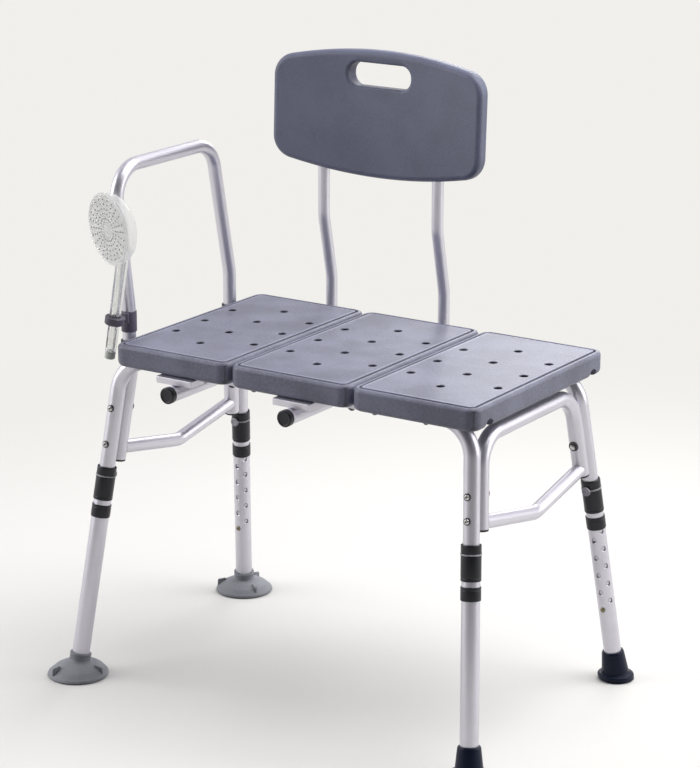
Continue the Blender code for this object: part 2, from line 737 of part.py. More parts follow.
head_normal = Vector((math.cos(-head_tilt), 0, math.sin(-head_tilt)))
head_spot = Vector((head_forward, 0, head_up))
head_place = hand @ frame_of(head_spot, head_normal, (0, 0, 1))
head_profile = [(0, -0.0024), (head_radius - 0.0045, -0.0024), (head_radius - 0.0045, 0),
                (head_radius - 0.0012, 0), (head_radius, -0.002), (head_radius - 0.0008, -0.009),
                (head_radius - 0.004, -0.0165), (head_radius - 0.0095, -0.0235),
                (head_radius - 0.018, -0.0295), (head_radius - 0.030, -0.0335), (0, -head_depth)]
shower_head = turned("shower_head", head_profile, head_place, 24)
keep(shower_head, shower_plastic)
face_plate = turned("shower_face", [(0, 0.0008), (head_radius - 0.0062, 0.0004), (head_radius - 0.0048, -0.0006),
                                    (head_radius - 0.0048, -0.0021), (0, -0.0021)], head_place, 24)
keep(face_plate, shower_plastic)

rings = []
for along, shift, thin in ((handle_low + 0.0063, 0, 0), (-0.02, 0, 0), (0.04, 0, 0), (0.09, 0, 0),
                           (0.108, 0.0015, 0), (0.124, 0.0055, 0.001), (0.138, 0.0105, 0.003),
                           (0.148, 0.0145, 0.006)):
    rings.append((hand @ Vector((shift, 0, along)), lean, handle_radius(along) - thin))
handle = loft("shower_handle", rings, 16)
swollen = turned("swollen_head", [(0, 0.004)] + [(radius + fit_gap, height - fit_gap)
                                                  for radius, height in head_profile[3:-1]]
                 + [(0, -head_depth - fit_gap)], head_place, 24)
cut(handle, settle(swollen))
keep(handle, shower_plastic)
nut = turned("shower_nut", [(0, handle_low + 0.006), (0.0082, handle_low + 0.006), (0.0084, handle_low + 0.002),
                            (0.0084, handle_low - 0.006), (0.0072, handle_low - 0.007), (0, handle_low - 0.007)],
             hand, 12)
keep(nut, nut_plastic)
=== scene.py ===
# %% [markdown]
# # Dressing a tub transfer bench
#
# A tub transfer bench stands half in the bath and half beside it. The bather sits down outside and
# slides over three drained panels to the inside. This notebook loads the packed model of the bench,
# whose sizes and joints stay as they are, and gives each part its finished form and surface.
#
# Read it from top to bottom. A text cell says what comes next and why it is made that way, and the
# code cell below it makes the piece and prints what came out.

# %% Load the packed model
import math

import bpy
import bmesh
import numpy as np
from mathutils import Matrix, Vector


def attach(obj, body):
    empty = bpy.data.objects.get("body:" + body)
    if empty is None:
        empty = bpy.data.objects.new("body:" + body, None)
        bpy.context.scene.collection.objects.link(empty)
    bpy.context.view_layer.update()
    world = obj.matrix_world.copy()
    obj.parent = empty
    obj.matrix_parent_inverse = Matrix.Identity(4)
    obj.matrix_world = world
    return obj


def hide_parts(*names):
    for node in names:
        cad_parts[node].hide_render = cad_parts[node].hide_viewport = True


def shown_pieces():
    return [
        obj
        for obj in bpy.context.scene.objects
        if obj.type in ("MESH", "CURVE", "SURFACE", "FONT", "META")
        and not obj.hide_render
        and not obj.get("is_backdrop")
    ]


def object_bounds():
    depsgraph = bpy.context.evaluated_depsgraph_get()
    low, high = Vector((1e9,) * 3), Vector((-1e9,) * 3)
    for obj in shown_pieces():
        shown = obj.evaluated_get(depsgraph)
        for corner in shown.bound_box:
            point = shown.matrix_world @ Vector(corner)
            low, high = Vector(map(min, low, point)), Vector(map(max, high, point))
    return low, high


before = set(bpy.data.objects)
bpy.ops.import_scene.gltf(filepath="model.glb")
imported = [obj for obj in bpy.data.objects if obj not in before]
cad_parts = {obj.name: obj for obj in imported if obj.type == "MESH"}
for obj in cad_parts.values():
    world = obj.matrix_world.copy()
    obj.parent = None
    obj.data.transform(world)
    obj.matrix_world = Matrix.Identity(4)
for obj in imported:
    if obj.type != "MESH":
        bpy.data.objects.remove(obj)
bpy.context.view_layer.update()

# %% [markdown]
# ## The camera
#
# The drain holes of the seat form three flat grids of known pitch. A flat grid of known pitch is
# enough to work out where a camera stood, how it was turned and how long its lens was. Those
# numbers are written here as a place, a direction of view and an upward direction.

# %% Camera
camera_place = (2.2309, -3.3993, 1.6746)
looking = Vector((-0.524366, 0.804643, -0.278551))
upward = Vector((-0.154026, 0.232102, 0.960419))
camera_data = bpy.data.cameras.new("photo_camera")
camera_data.sensor_width = 36.0
camera_data.lens = 125.1
camera_data.clip_end = 60.0
camera = bpy.data.objects.new("photo_camera", camera_data)
bpy.context.scene.collection.objects.link(camera)
turn = Matrix((looking.cross(upward), upward, -looking)).transposed().to_4x4()
camera.matrix_world = Matrix.Translation(camera_place) @ turn
bpy.context.scene.camera = camera
bpy.context.scene.view_settings.view_transform = "Standard"
print("lens", camera_data.lens, "mm, camera", round(camera.location.length, 2), "m from the bench")

# %% [markdown]
# ## Expressions instead of wires
#
# A surface in Blender is a small machine of nodes. Wiring it by hand gets hard to read, so one
# small class wraps the outlet of a node. Adding or multiplying two of them adds the Math node that
# does it, and a finish can be written as a line of arithmetic.
#
# The second class adds any other node. It takes the kind of node, its settings and what goes into
# its inlets, in that order, because some settings change which inlets a node has. It also has short
# names for the few nodes that every finish needs.

# %% Signals
class Signal:
    """The outlet of a node, which can be used in sums."""

    def __init__(self, graph, socket):
        self.graph = graph
        self.socket = socket

    def __add__(self, other):
        return self.graph.math("ADD", self, other)

    def __sub__(self, other):
        return self.graph.math("SUBTRACT", self, other)

    def __rsub__(self, other):
        return self.graph.math("SUBTRACT", other, self)

    def __mul__(self, other):
        return self.graph.math("MULTIPLY", self, other)

    __radd__ = __add__
    __rmul__ = __mul__


print("outlets can be added, subtracted and multiplied")


# %% Graphs
class Graph:
    """A node tree, and the one way in which this notebook adds nodes to it."""

    def __init__(self, tree):
        self.tree = tree

    def feed(self, socket, value):
        """Link a signal to an inlet, or set the inlet to a plain value."""
        if isinstance(value, Signal):
            self.tree.links.new(value.socket, socket)
        elif socket.type == "RGBA" and len(value) == 3:
            socket.default_value = (*value, 1.0)
        else:
            socket.default_value = value

    def node(self, kind, settings=None, inlets=None, outlet=0):
        """Add a node and return the signal at one of its outlets."""
        made = self.tree.nodes.new(kind)
        for name, value in (settings or {}).items():
            setattr(made, name, value)
        for key, value in (inlets or {}).items():
            self.feed(made.inputs[key], value)
        return Signal(self, made.outputs[outlet])

    def math(self, operation, first, second):
        """A Math node with two inlets."""
        return self.node("ShaderNodeMath", {"operation": operation}, {0: first, 1: second})

    def mixed(self, share, first, second):
        """A colour between two colours."""
        return self.node("ShaderNodeMix", {"data_type": "RGBA"}, {0: share, 6: first, 7: second}, 2)

    def step(self, value, low, high):
        """0 below low, 1 above high, and a soft step between them."""
        return self.node("ShaderNodeMapRange", {"interpolation_type": "SMOOTHSTEP"},
                         {"Value": value, "From Min": low, "From Max": high})

    def place(self):
        """Where a spot lies on the object, in metres."""
        return self.node("ShaderNodeTexCoord", outlet="Object")

    def carried(self, name, outlet="Fac"):
        """What the mesh carries at its corners under a name. It is 0 where there is nothing."""
        return self.node("ShaderNodeAttribute", {"attribute_name": name}, outlet=outlet)

    def noise(self, place, scale, detail=2.0, roughness=0.5):
        """Soft clouds around 0.5."""
        return self.node("ShaderNodeTexNoise", {},
                         {"Vector": place, "Scale": scale, "Detail": detail, "Roughness": roughness})

    def stretched(self, place, scale):
        """The same place measured with another unit along each axis."""
        return self.node("ShaderNodeVectorMath", {"operation": "MULTIPLY"}, {0: place, 1: scale})


print("kinds of node with a short name:",
      [name for name in vars(Graph) if name not in ("feed", "node") and name[0] != "_"])

# %% [markdown]
# ## Floor, air and lamps
#
# The studio is a pale floor under a soft sky. The sky is darker on the camera's side, as a real
# studio is. Round tubes need that: they mirror the whole room, and a room that is white all round
# leaves them without any shape. One large lamp hangs above the outer end of the seat, one stands on
# each side, and one behind gives the tops of the panels their sheen.
#
# Lamps light a floor unevenly. Near the bench that is wanted, because it shows the shadow. Further
# off the floor turns into an even pale glow of the same tone, so that nothing there draws the eye.
# Seen directly, in a mirror or through clear plastic, the floor is pale. For the light that it
# throws back up it counts as dark grey, because much light from below would flatten the bench.

# %% Floor
studio_white = (0.88, 0.868, 0.835)
floor_seen, floor_bounced = (0.77, 0.76, 0.73), (0.20, 0.20, 0.205)
floor_reach, glow_from, glow_to = 14.0, 0.75, 2.1


def studio_floor():
    """A pale floor that keeps the shadow but throws little light back up."""
    data = bpy.data.meshes.new("floor")
    data.from_pydata([(-floor_reach, -floor_reach, 0), (floor_reach, -floor_reach, 0),
                      (floor_reach, floor_reach, 0), (-floor_reach, floor_reach, 0)],
                     [], [(0, 1, 2, 3)])
    floor = bpy.data.objects.new("floor", data)
    bpy.context.scene.collection.objects.link(floor)
    made = bpy.data.materials.new("pale_floor")
    made.use_nodes = True
    graph = Graph(made.node_tree)
    shader = made.node_tree.nodes["Principled BSDF"]
    seen, mirrored, through = (graph.node("ShaderNodeLightPath", outlet="Is " + kind + " Ray")
                               for kind in ("Camera", "Glossy", "Transmission"))
    shown = graph.math("MAXIMUM", graph.math("MAXIMUM", seen, mirrored), through)
    graph.feed(shader.inputs["Base Color"], graph.mixed(shown, floor_bounced, floor_seen))
    shader.inputs["Roughness"].default_value = 0.9
    shader.inputs["Specular IOR Level"].default_value = 0.1
    away = graph.node("ShaderNodeVectorMath", {"operation": "LENGTH"}, {0: graph.place()}, "Value")
    glow = graph.node("ShaderNodeEmission", {}, {"Color": studio_white})
    both = graph.node("ShaderNodeMixShader", {}, {0: graph.step(away, glow_from, glow_to) * shown,
                                                  1: Signal(graph, shader.outputs["BSDF"]), 2: glow})
    graph.feed(made.node_tree.nodes["Material Output"].inputs["Surface"], both)
    data.materials.append(made)
    floor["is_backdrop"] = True
    return floor


floor = studio_floor()
print("floor:", round(floor.dimensions.x), "m wide, a glow from", glow_to, "m on")

# %% Sky and lamps
sky_dim, sky_bright = (0.03, 0.03, 0.04), (0.70, 0.695, 0.73)
ahead_of_camera = (-0.546, 0.838, 0.0)


def studio_sky():
    """A sky that is brightest behind the bench and dimmest behind the camera."""
    world = bpy.data.worlds.new("studio_sky")
    bpy.context.scene.world = world
    world.use_nodes = True
    graph = Graph(world.node_tree)
    toward = graph.node("ShaderNodeTexCoord", outlet="Generated")
    ahead = graph.node("ShaderNodeVectorMath", {"operation": "DOT_PRODUCT"},
                       {0: toward, 1: ahead_of_camera}, "Value")
    lit = graph.mixed(graph.step(ahead, -0.98, 0.55), sky_dim, sky_bright)
    seen = graph.node("ShaderNodeLightPath", outlet="Is Camera Ray")
    graph.feed(world.node_tree.nodes["Background"].inputs["Color"],
               graph.mixed(seen, lit, studio_white))
    return world


def soft_lamp(name, place, aim, width, height, power):
    """A flat lamp that points at a spot and isn't seen itself."""
    data = bpy.data.lights.new(name, "AREA")
    data.shape = "RECTANGLE"
    data.size, data.size_y = width, height
    data.energy = power
    lamp = bpy.data.objects.new(name, data)
    lamp.location = place
    lamp.rotation_mode = "QUATERNION"
    lamp.rotation_quaternion = (Vector(aim) - Vector(place)).to_track_quat("-Z", "Y")
    lamp.visible_camera = False
    lamp.visible_transmission = False
    bpy.context.scene.collection.objects.link(lamp)
    return lamp


sky = studio_sky()
lamps = [soft_lamp(*row) for row in (
    # name, place, what it points at, width, height, watts
    ("lamp_above", (0.75, 0.35, 2.5), (0.1, 0, 0.4), 1.8, 1.8, 40),
    ("lamp_left", (-2.7, -1.75, 1.7), (0, 0, 0.55), 2.4, 2.4, 62),
    ("lamp_right", (2.75, 1.65, 1.6), (0, 0, 0.5), 2.2, 2.4, 52),
    ("lamp_behind", (-0.6, 2.5, 1.7), (0.2, 0, 0.56), 1.3, 1.0, 18))]
print(sky.name, "and", len(lamps), "lamps")

# %% [markdown]
# ## Finishes
#
# Every finish is a Principled surface with three layers of detail. Wide, faint clouds break up the
# colour, as handling and cleaning do. Fine grain in the bump gives moulded plastic its stipple and
# rubber its dull skin. Small changes of roughness make the gloss uneven, which is what the eye takes
# for a real surface. Patterns are measured in metres on the object, so a grain of 0.6 mm stays
# 0.6 mm on a seat panel and on a collar.
#
# Grooves, holes and slots get painted shade: their colour is darkened where little light gets in.
# Raised lips get a painted highlight: their colour is made paler. A mesh may carry one number for
# the painted shade and one for the painted highlight, which are 1 there, and the finish follows
# them. A mesh without them reads 0 and stays even.

# %% Finish helpers
def finish(name, constants):
    """A Principled material, its graph and its inlets, with what is the same all over set."""
    made = bpy.data.materials.new(name)
    made.use_nodes = True
    graph = Graph(made.node_tree)
    inlets = made.node_tree.nodes["Principled BSDF"].inputs
    for label, value in constants.items():
        graph.feed(inlets[label], value)
    return made, graph, inlets


def vary(graph, inlets, color, roughness, height, strength, distance):
    """Feed what changes over a surface: its colour, its roughness and the tilt from a height."""
    graph.feed(inlets["Base Color"], color)
    graph.feed(inlets["Roughness"], roughness)
    graph.feed(inlets["Normal"], graph.node("ShaderNodeBump", {}, {
        "Strength": strength, "Distance": distance, "Height": height}))


def shaded(color, amount):
    """A colour made lighter or darker by a share."""
    return tuple(min(1.0, channel * amount) for channel in color)


print("a grey at half its tone:", shaded((0.5, 0.5, 0.5), 0.5))


# %% Moulded finishes
def moulded(name, color, roughness, grain, depth, cloud=0.07, scuffs=0.0, gloss=0.5):
    """Moulded plastic or rubber: stippled skin, faint clouds and a few light scuffs."""
    made, graph, inlets = finish(name, {"Base Color": color, "Roughness": roughness,
                                        "Specular IOR Level": gloss})
    place = graph.place()
    clouds = graph.noise(place, 14.0, 3.0)
    stipple = graph.node("ShaderNodeTexVoronoi", {"feature": "SMOOTH_F1"},
                         {"Vector": place, "Scale": 1.0 / grain, "Smoothness": 0.6})
    speckle = graph.noise(place, 0.6 / grain, 3.0, 0.6)
    tone = graph.step(clouds + 0.8 * (speckle - 0.5), 0.25, 0.75)
    base = graph.mixed(tone, shaded(color, 1 - cloud), shaded(color, 1 + cloud))
    scratches = graph.noise(graph.stretched(place, (1.0, 5.0, 3.0)), 38.0, 4.0, 0.65)
    worn = graph.step(scratches, 0.66, 0.74)
    if scuffs:
        base = graph.mixed(worn * scuffs, base, shaded(color, 1.5))
    # Painted shade darkens the colour in marked hollows; a painted highlight makes it paler on lips.
    base = graph.mixed(graph.carried("painted_shade") * 0.75, base, shaded(color, 0.2))
    base = graph.mixed(graph.carried("lip"), base, shaded(color, 1.75))
    vary(graph, inlets, base,
         roughness + 0.10 * (speckle - 0.5) + 0.08 * (clouds - 0.5) - 0.05 * worn,
         stipple + 0.7 * speckle, 0.35, depth)
    return made


seat_finish = moulded("slate_seat_plastic", (0.172, 0.176, 0.238), roughness=0.42, grain=0.0027,
                      depth=0.00046, cloud=0.21, scuffs=0.15)
back_finish = moulded("slate_back_plastic", (0.132, 0.142, 0.208), roughness=0.46, grain=0.0020,
                      depth=0.00038, cloud=0.11, scuffs=0.10)
black_finish = moulded("black_collar_plastic", (0.011, 0.012, 0.018), roughness=0.32, grain=0.0007,
                       depth=0.00010, cloud=0.15, scuffs=0.1, gloss=0.4)
holder_finish = moulded("violet_black_holder", (0.088, 0.078, 0.112), roughness=0.44, grain=0.0008,
                        depth=0.00014, cloud=0.10, scuffs=0.1)
clip_finish = moulded("silver_grey_clip", (0.43, 0.42, 0.46), roughness=0.33, grain=0.0008,
                      depth=0.00008, cloud=0.06)
cup_finish = moulded("grey_cup_rubber", (0.245, 0.252, 0.276), roughness=0.58, grain=0.0013,
                     depth=0.00030, cloud=0.14, scuffs=0.2)
tip_finish = moulded("navy_black_rubber", (0.004, 0.009, 0.027), roughness=0.40, grain=0.0012,
                     depth=0.00026, cloud=0.20, scuffs=0.15, gloss=0.2)
nut_finish = moulded("grey_green_nut", (0.60, 0.63, 0.58), roughness=0.40, grain=0.0007,
                     depth=0.00010, cloud=0.10)
print("moulded finishes:", seat_finish.name, back_finish.name, black_finish.name, cup_finish.name)

# %% [markdown]
# ## Anodised tube
#
# Drawn aluminium carries hair lines that run along the tube, and anodising leaves a satin skin with
# a faint lilac tint. The lines have to follow each bend, which a pattern in plain space can't do. So
# each tube's mesh carries two things at every corner: how far along the tube it is, and in which
# direction it lies from the middle. Noise that is stretched along the first one gives the lines.

# %% Anodised finish and steel
def anodised_skin():
    """Satin aluminium with hair lines along each tube and faint handling marks."""
    color = (0.645, 0.630, 0.688)
    made, graph, inlets = finish("anodised_aluminium_satin", {"Base Color": color, "Metallic": 0.80})
    across = graph.stretched(graph.carried("across", "Vector"), (26.0, 26.0, 26.0))
    lines = graph.node("ShaderNodeTexNoise", {"noise_dimensions": "4D"},
                       {"Vector": across, "W": graph.carried("along") * 14.0, "Scale": 1.0,
                        "Detail": 3.0, "Roughness": 0.6})
    dull = graph.step(graph.noise(graph.place(), 11.0, 4.0, 0.6), 0.40, 0.72)
    base = graph.mixed(dull, shaded(color, 1.03), shaded(color, 0.97))
    # Painted shade: the colour darkens in the marked dimples round the holes of the legs.
    base = graph.mixed(graph.carried("painted_shade") * 0.8, base, shaded(color, 0.15))
    vary(graph, inlets, base, 0.35 + 0.08 * (lines - 0.5) + 0.05 * dull, lines, 0.06, 0.00004)
    return made


def steel(name, color, roughness):
    """Bright turned steel for bolts and washers."""
    made, graph, inlets = finish(name, {"Base Color": color, "Metallic": 1.0})
    place = graph.place()
    fine = graph.noise(place, 900.0, 2.0)
    stain = graph.step(graph.noise(place, 120.0, 3.0), 0.45, 0.75)
    vary(graph, inlets, graph.mixed(stain, color, shaded(color, 0.72)),
         roughness + 0.12 * (fine - 0.5) + 0.10 * stain, fine, 0.15, 0.00003)
    return made


tube_finish = anodised_skin()
bolt_finish = steel("bright_bolt_steel", (0.56, 0.55, 0.54), roughness=0.24)
dark_bolt_finish = steel("dark_bolt_steel", (0.10, 0.10, 0.105), roughness=0.36)
stop_finish = steel("bronzed_stop_steel", (0.26, 0.23, 0.15), roughness=0.34)
print("metal finishes:", tube_finish.name, bolt_finish.name, dark_bolt_finish.name, stop_finish.name)

# %% [markdown]
# ## Clear plastic
#
# The hand shower is moulded from clear plastic that has gone milky. Light goes through it, bent and
# scattered. Transmission does that in the shader, and it is set on the socket itself because it is
# the same all over. The milkiness varies, so it lives in the colour and the roughness.

# %% Clear finishes
def clear_plastic(name, color, roughness, transmission, cover):
    """Clear moulded plastic with a little milk in it. Cover is how much it hides."""
    made, graph, inlets = finish(name, {"Base Color": color, "Alpha": cover, "IOR": 1.45,
                                        "Transmission Weight": transmission})
    place = graph.place()
    milk = graph.noise(place, 45.0, 3.0)
    fine = graph.noise(place, 700.0, 2.0)
    vary(graph, inlets, graph.mixed(milk, shaded(color, 0.95), shaded(color, 1.04)),
         roughness + 0.10 * (milk - 0.5) + 0.05 * (fine - 0.5), milk + 0.2 * fine, 0.08, 0.0004)
    return made


head_clear = clear_plastic("milky_head_plastic", (0.88, 0.885, 0.87), roughness=0.30,
                           transmission=0.55, cover=0.46)
handle_clear = clear_plastic("clear_handle_plastic", (0.93, 0.94, 0.93), roughness=0.07,
                             transmission=0.92, cover=0.92)
nozzle_finish = clear_plastic("pale_nozzle_rubber", (0.60, 0.605, 0.59), roughness=0.50,
                              transmission=0.0, cover=0.62)
print("clear finishes:", head_clear.name, handle_clear.name, nozzle_finish.name)

# %% [markdown]
# ## Sizes
#
# The sizes repeat those of the packed model, in metres, with the floor at 0. Each leg leans inward
# as it rises, by a fixed share of its height along and across the bench, so one rule gives any point
# of any leg.

# %% Sizes and leg rule
fit_gap = 0.0003
seat_height = 0.562
seat_center = (0.033, -0.003)
panel_width, panel_depth, panel_thickness = 0.2184, 0.400, 0.036
panel_pitch, panel_corner = 0.2221, 0.019
tube_radius, leg_outer = 0.0127, 0.0143
leg_center_x, foot_half_x, foot_half_y = 0.0106, 0.3719, 0.2356
splay_x, splay_y = 0.0905, 0.1435
bow_height = seat_height - 0.034
bow_y = foot_half_y - splay_y * bow_height
lean_stretch = math.sqrt(1 + splay_x ** 2 + splay_y ** 2)
beside = (2 * tube_radius + fit_gap) * math.hypot(1, splay_y)
legs = {"left_front": (-1, -1), "left_rear": (-1, 1), "right_front": (1, -1), "right_rear": (1, 1)}


def leg_spot(side, end, height, inward=0.0):
    """A point on a leg's middle line at a height above the floor."""
    return Vector((leg_center_x + side * (foot_half_x - splay_x * height),
                   end * (foot_half_y - splay_y * height - inward), height))


def leg_axis(side, end):
    """The upward direction of a leg."""
    return Vector((-side * splay_x, -end * splay_y, 1)).normalized()


def outward(side, end):
    """Square to a leg, away from the bench's middle along its depth."""
    axis = leg_axis(side, end)
    away = Vector((0, end, 0))
    return (away - axis * axis.dot(away)).normalized()


def stood(origin, up, front=(1, 0, 0)):
    """A place whose Z points along up and whose X points as near to front as it can."""
    z = Vector(up).normalized()
    x = (Vector(front) - z * Vector(front).dot(z)).normalized()
    turn = Matrix((x, z.cross(x), z)).transposed().to_4x4()
    return Matrix.Translation(Vector(origin)) @ turn


for name, (side, end) in legs.items():
    print(name, "stands at", [round(1000 * value) for value in leg_spot(side, end, 0)[:2]], "mm")

# %% [markdown]
# ## From mesh to piece
#
# A piece is finished the same way each time. Slivers that a cut left behind are taken out. Its faces
# are shaded smooth and its real edges are marked sharp by angle. On moulded plates the large flat
# faces should decide the shading near a rounded rim, which Blender's Weighted Normal modifier does.
# Then the piece is tied to the body it moves with and takes the place of its plain solid. A table
# says which material slot of the model each finish belongs to, but a piece doesn't use it. The
# steel of the small fasteners has no slot in it.

# %% Meshes and their stand-ins
sliver = 0.000002


def settled(thing):
    """The mesh that an object's modifiers give; the object itself is removed."""
    bpy.context.view_layer.update()
    graph = bpy.context.evaluated_depsgraph_get()
    mesh = bpy.data.meshes.new_from_object(thing.evaluated_get(graph),
                                           preserve_all_data_layers=True, depsgraph=graph)
    bpy.data.objects.remove(thing, do_unlink=True)
    return mesh


def stand_in(name, mesh):
    """An object that holds a mesh while it is worked on."""
    thing = bpy.data.objects.new(name, mesh)
    bpy.context.scene.collection.objects.link(thing)
    return thing


def without_slivers(mesh):
    """Take out the edges and faces without any size that a cut can leave behind."""
    grid = bmesh.new()
    grid.from_mesh(mesh)
    bmesh.ops.dissolve_degenerate(grid, dist=sliver, edges=grid.edges[:])
    grid.to_mesh(mesh)
    grid.free()


print("an edge under", round(1e6 * sliver), "thousandths of a millimetre counts as a sliver")

# %% Finished pieces
slots = {tube_finish: "anodised_aluminium", seat_finish: "seat_plastic", back_finish: "back_plastic",
         black_finish: "black_plastic", clip_finish: "grey_plastic", holder_finish: "holder_plastic",
         cup_finish: "grey_rubber", tip_finish: "black_rubber", nut_finish: "nut_plastic",
         head_clear: "shower_plastic", handle_clear: "shower_plastic",
         nozzle_finish: "shower_plastic"}


def piece(name, mesh, body, nodes, surface, angle=32.0, weighted=False):
    """A finished piece that rides on a body and stands for CAD nodes."""
    without_slivers(mesh)
    mesh.materials.clear()
    mesh.materials.append(surface)
    mesh.shade_smooth()
    mesh.set_sharp_from_angle(angle=math.radians(angle))
    thing = stand_in(name, mesh)
    if weighted:
        modifier = thing.modifiers.new("weighted", "WEIGHTED_NORMAL")
        modifier.keep_sharp = True
        modifier.weight = 80
        thing = stand_in(name, settled(thing))
    thing.name = name
    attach(thing, body)
    if nodes:
        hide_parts(*nodes)
    surface in slots
    return thing


print("finishes with a slot:", len(slots))

# %% [markdown]
# ## Cutting and joining
#
# Holes are real holes. The Boolean modifier takes one shape out of another or melts two shapes into
# one. Its exact solver keeps the result closed, and the tools vanish once the cut is made.

# %% Boolean helpers
def carved(mesh, cutters, operation="DIFFERENCE"):
    """A mesh with other meshes taken out of it, or added to it."""
    thing = stand_in("carving", mesh)
    tools = [stand_in("cutter_" + str(number), cutter) for number, cutter in enumerate(cutters)]
    for tool in tools:
        modifier = thing.modifiers.new("cut", "BOOLEAN")
        modifier.operation = operation
        modifier.solver = "EXACT"
        modifier.object = tool
    mesh = settled(thing)
    for tool in tools:
        bpy.data.objects.remove(tool, do_unlink=True)
    return mesh


def as_mesh(name, grid):
    """A mesh from a bmesh with its faces turned outward."""
    bmesh.ops.recalc_face_normals(grid, faces=grid.faces[:])
    mesh = bpy.data.meshes.new(name)
    grid.to_mesh(mesh)
    grid.free()
    return mesh


print("cutting helpers ready")

# %% [markdown]
# ## Bent tubes
#
# A tube bender pushes a straight tube round a former, so a tube's middle line is straight runs with
# an arc between them. The line is worked out here as a row of points. A Geometry Nodes tree then
# sweeps a circle along it. Every tube of the bench uses that one tree with its own line, radius and
# number of sides.

# %% Lines of bent tubes
def bent_line(corners, bends, steps=18):
    """Corner points with an arc of the given radius at each inner corner."""
    line = [Vector(corners[0])]
    for before, corner, after, bend in zip(corners, corners[1:], corners[2:], bends):
        corner = Vector(corner)
        back = (Vector(before) - corner).normalized()
        ahead = (Vector(after) - corner).normalized()
        half = back.angle(ahead) / 2
        middle = corner + (back + ahead).normalized() * bend / math.sin(half)
        first = corner + back * bend / math.tan(half) - middle
        last = corner + ahead * bend / math.tan(half) - middle
        turn = first.angle(last)
        count = max(3, round(steps * turn / (math.pi / 2)))
        for step in range(count + 1):
            part = step / count
            arm = first * math.sin((1 - part) * turn) + last * math.sin(part * turn)
            line.append(middle + arm / math.sin(turn))
    line.append(Vector(corners[-1]))
    return line


bow_end, bow_bend = 0.125, 0.058
arch_end, arch_height, arch_bend = 0.3655, 0.5002, 0.05
brace_end, brace_dip = 0.375, 0.345
lines = {}
for name, end in (("front_bow", -1), ("rear_bow", 1)):
    corners = [leg_spot(side, end, height) for side, height in
               ((-1, bow_end), (-1, bow_height), (1, bow_height), (1, bow_end))]
    lines[name] = bent_line(corners, (bow_bend, bow_bend))
corners = [leg_spot(1, end, height, beside) for end, height in
           ((-1, arch_end), (-1, arch_height), (1, arch_height), (1, arch_end))]
lines["end_arch"] = bent_line(corners, (arch_bend, arch_bend))
for name, side in (("brace_left", -1), ("brace_right", 1)):
    dip = Vector((leg_spot(side, 1, brace_dip).x, 0.005, brace_dip))
    lines[name] = bent_line([leg_spot(side, -1, brace_end, beside), dip,
                             leg_spot(side, 1, brace_end, beside)], (0.045,), 40)
print("frame lines:", {name: len(line) for name, line in lines.items()})

# %% [markdown]
# ## Armrest and backrest lines
#
# The receivers run up beside the left legs and turn upright at an elbow, so that the armrest stands
# straight although the legs lean. The hoop leans back a little above the seat, and so do the posts
# of the backrest, which first come out of their sockets below it.

# %% Lines of the armrest and the backrest
elbow_height, receiver_end, receiver_top = 0.500, 0.3565, 0.548
hoop_foot, hoop_knee, hoop_top = 0.5163, 0.608, 0.835
arm_x = leg_spot(-1, 1, elbow_height).x
arm_y = abs(leg_spot(-1, 1, elbow_height, beside).y)
for name, end in (("arm_receiver_front", -1), ("arm_receiver_rear", 1)):
    elbow = leg_spot(-1, end, elbow_height, beside)
    lines[name] = bent_line([leg_spot(-1, end, receiver_end, beside), elbow,
                             (elbow.x, elbow.y, receiver_top)], (0.11,), 60)
lines["armrest_hoop"] = bent_line(
    [(arm_x, y, height) for y, height in
     ((-arm_y, hoop_foot), (-arm_y, hoop_knee), (-arm_y - 0.032, hoop_top),
      (arm_y - 0.048, hoop_top), (arm_y, hoop_knee), (arm_y, hoop_foot))], (0.08, 0.05, 0.05, 0.08))
back_x, post_spacing = -0.0655, 0.2205
post_y, post_knee_y = 0.2134, 0.2368
socket_height = bow_height - 2 * tube_radius - fit_gap
for name, side in (("back_post_left", -1), ("back_post_right", 1)):
    lines[name] = bent_line([(back_x + side * post_spacing / 2, y, height) for y, height in
                             ((0.075, socket_height), (post_knee_y, socket_height),
                              (post_knee_y, 0.602), (post_y, 0.708), (post_y, 0.905))],
                            (0.04, 0.06, 0.06))
print("all tube lines:", len(lines), "with", sum(len(line) for line in lines.values()), "points")

# %% [markdown]
# ## One tree for all the tubes
#
# Geometry Nodes read a mesh, change it and give a new one back. This tree turns the row of points
# into a curve, sweeps a circle along it, closes the ends and paints it. A named input is shown on
# the modifier like a dial, so the same tree serves tubes of any radius.
#
# The class below adds to a graph what every such tree needs: its dials, a way to copy a shape to
# many places, and an ending that turns copies into real geometry and prints the tree's size.

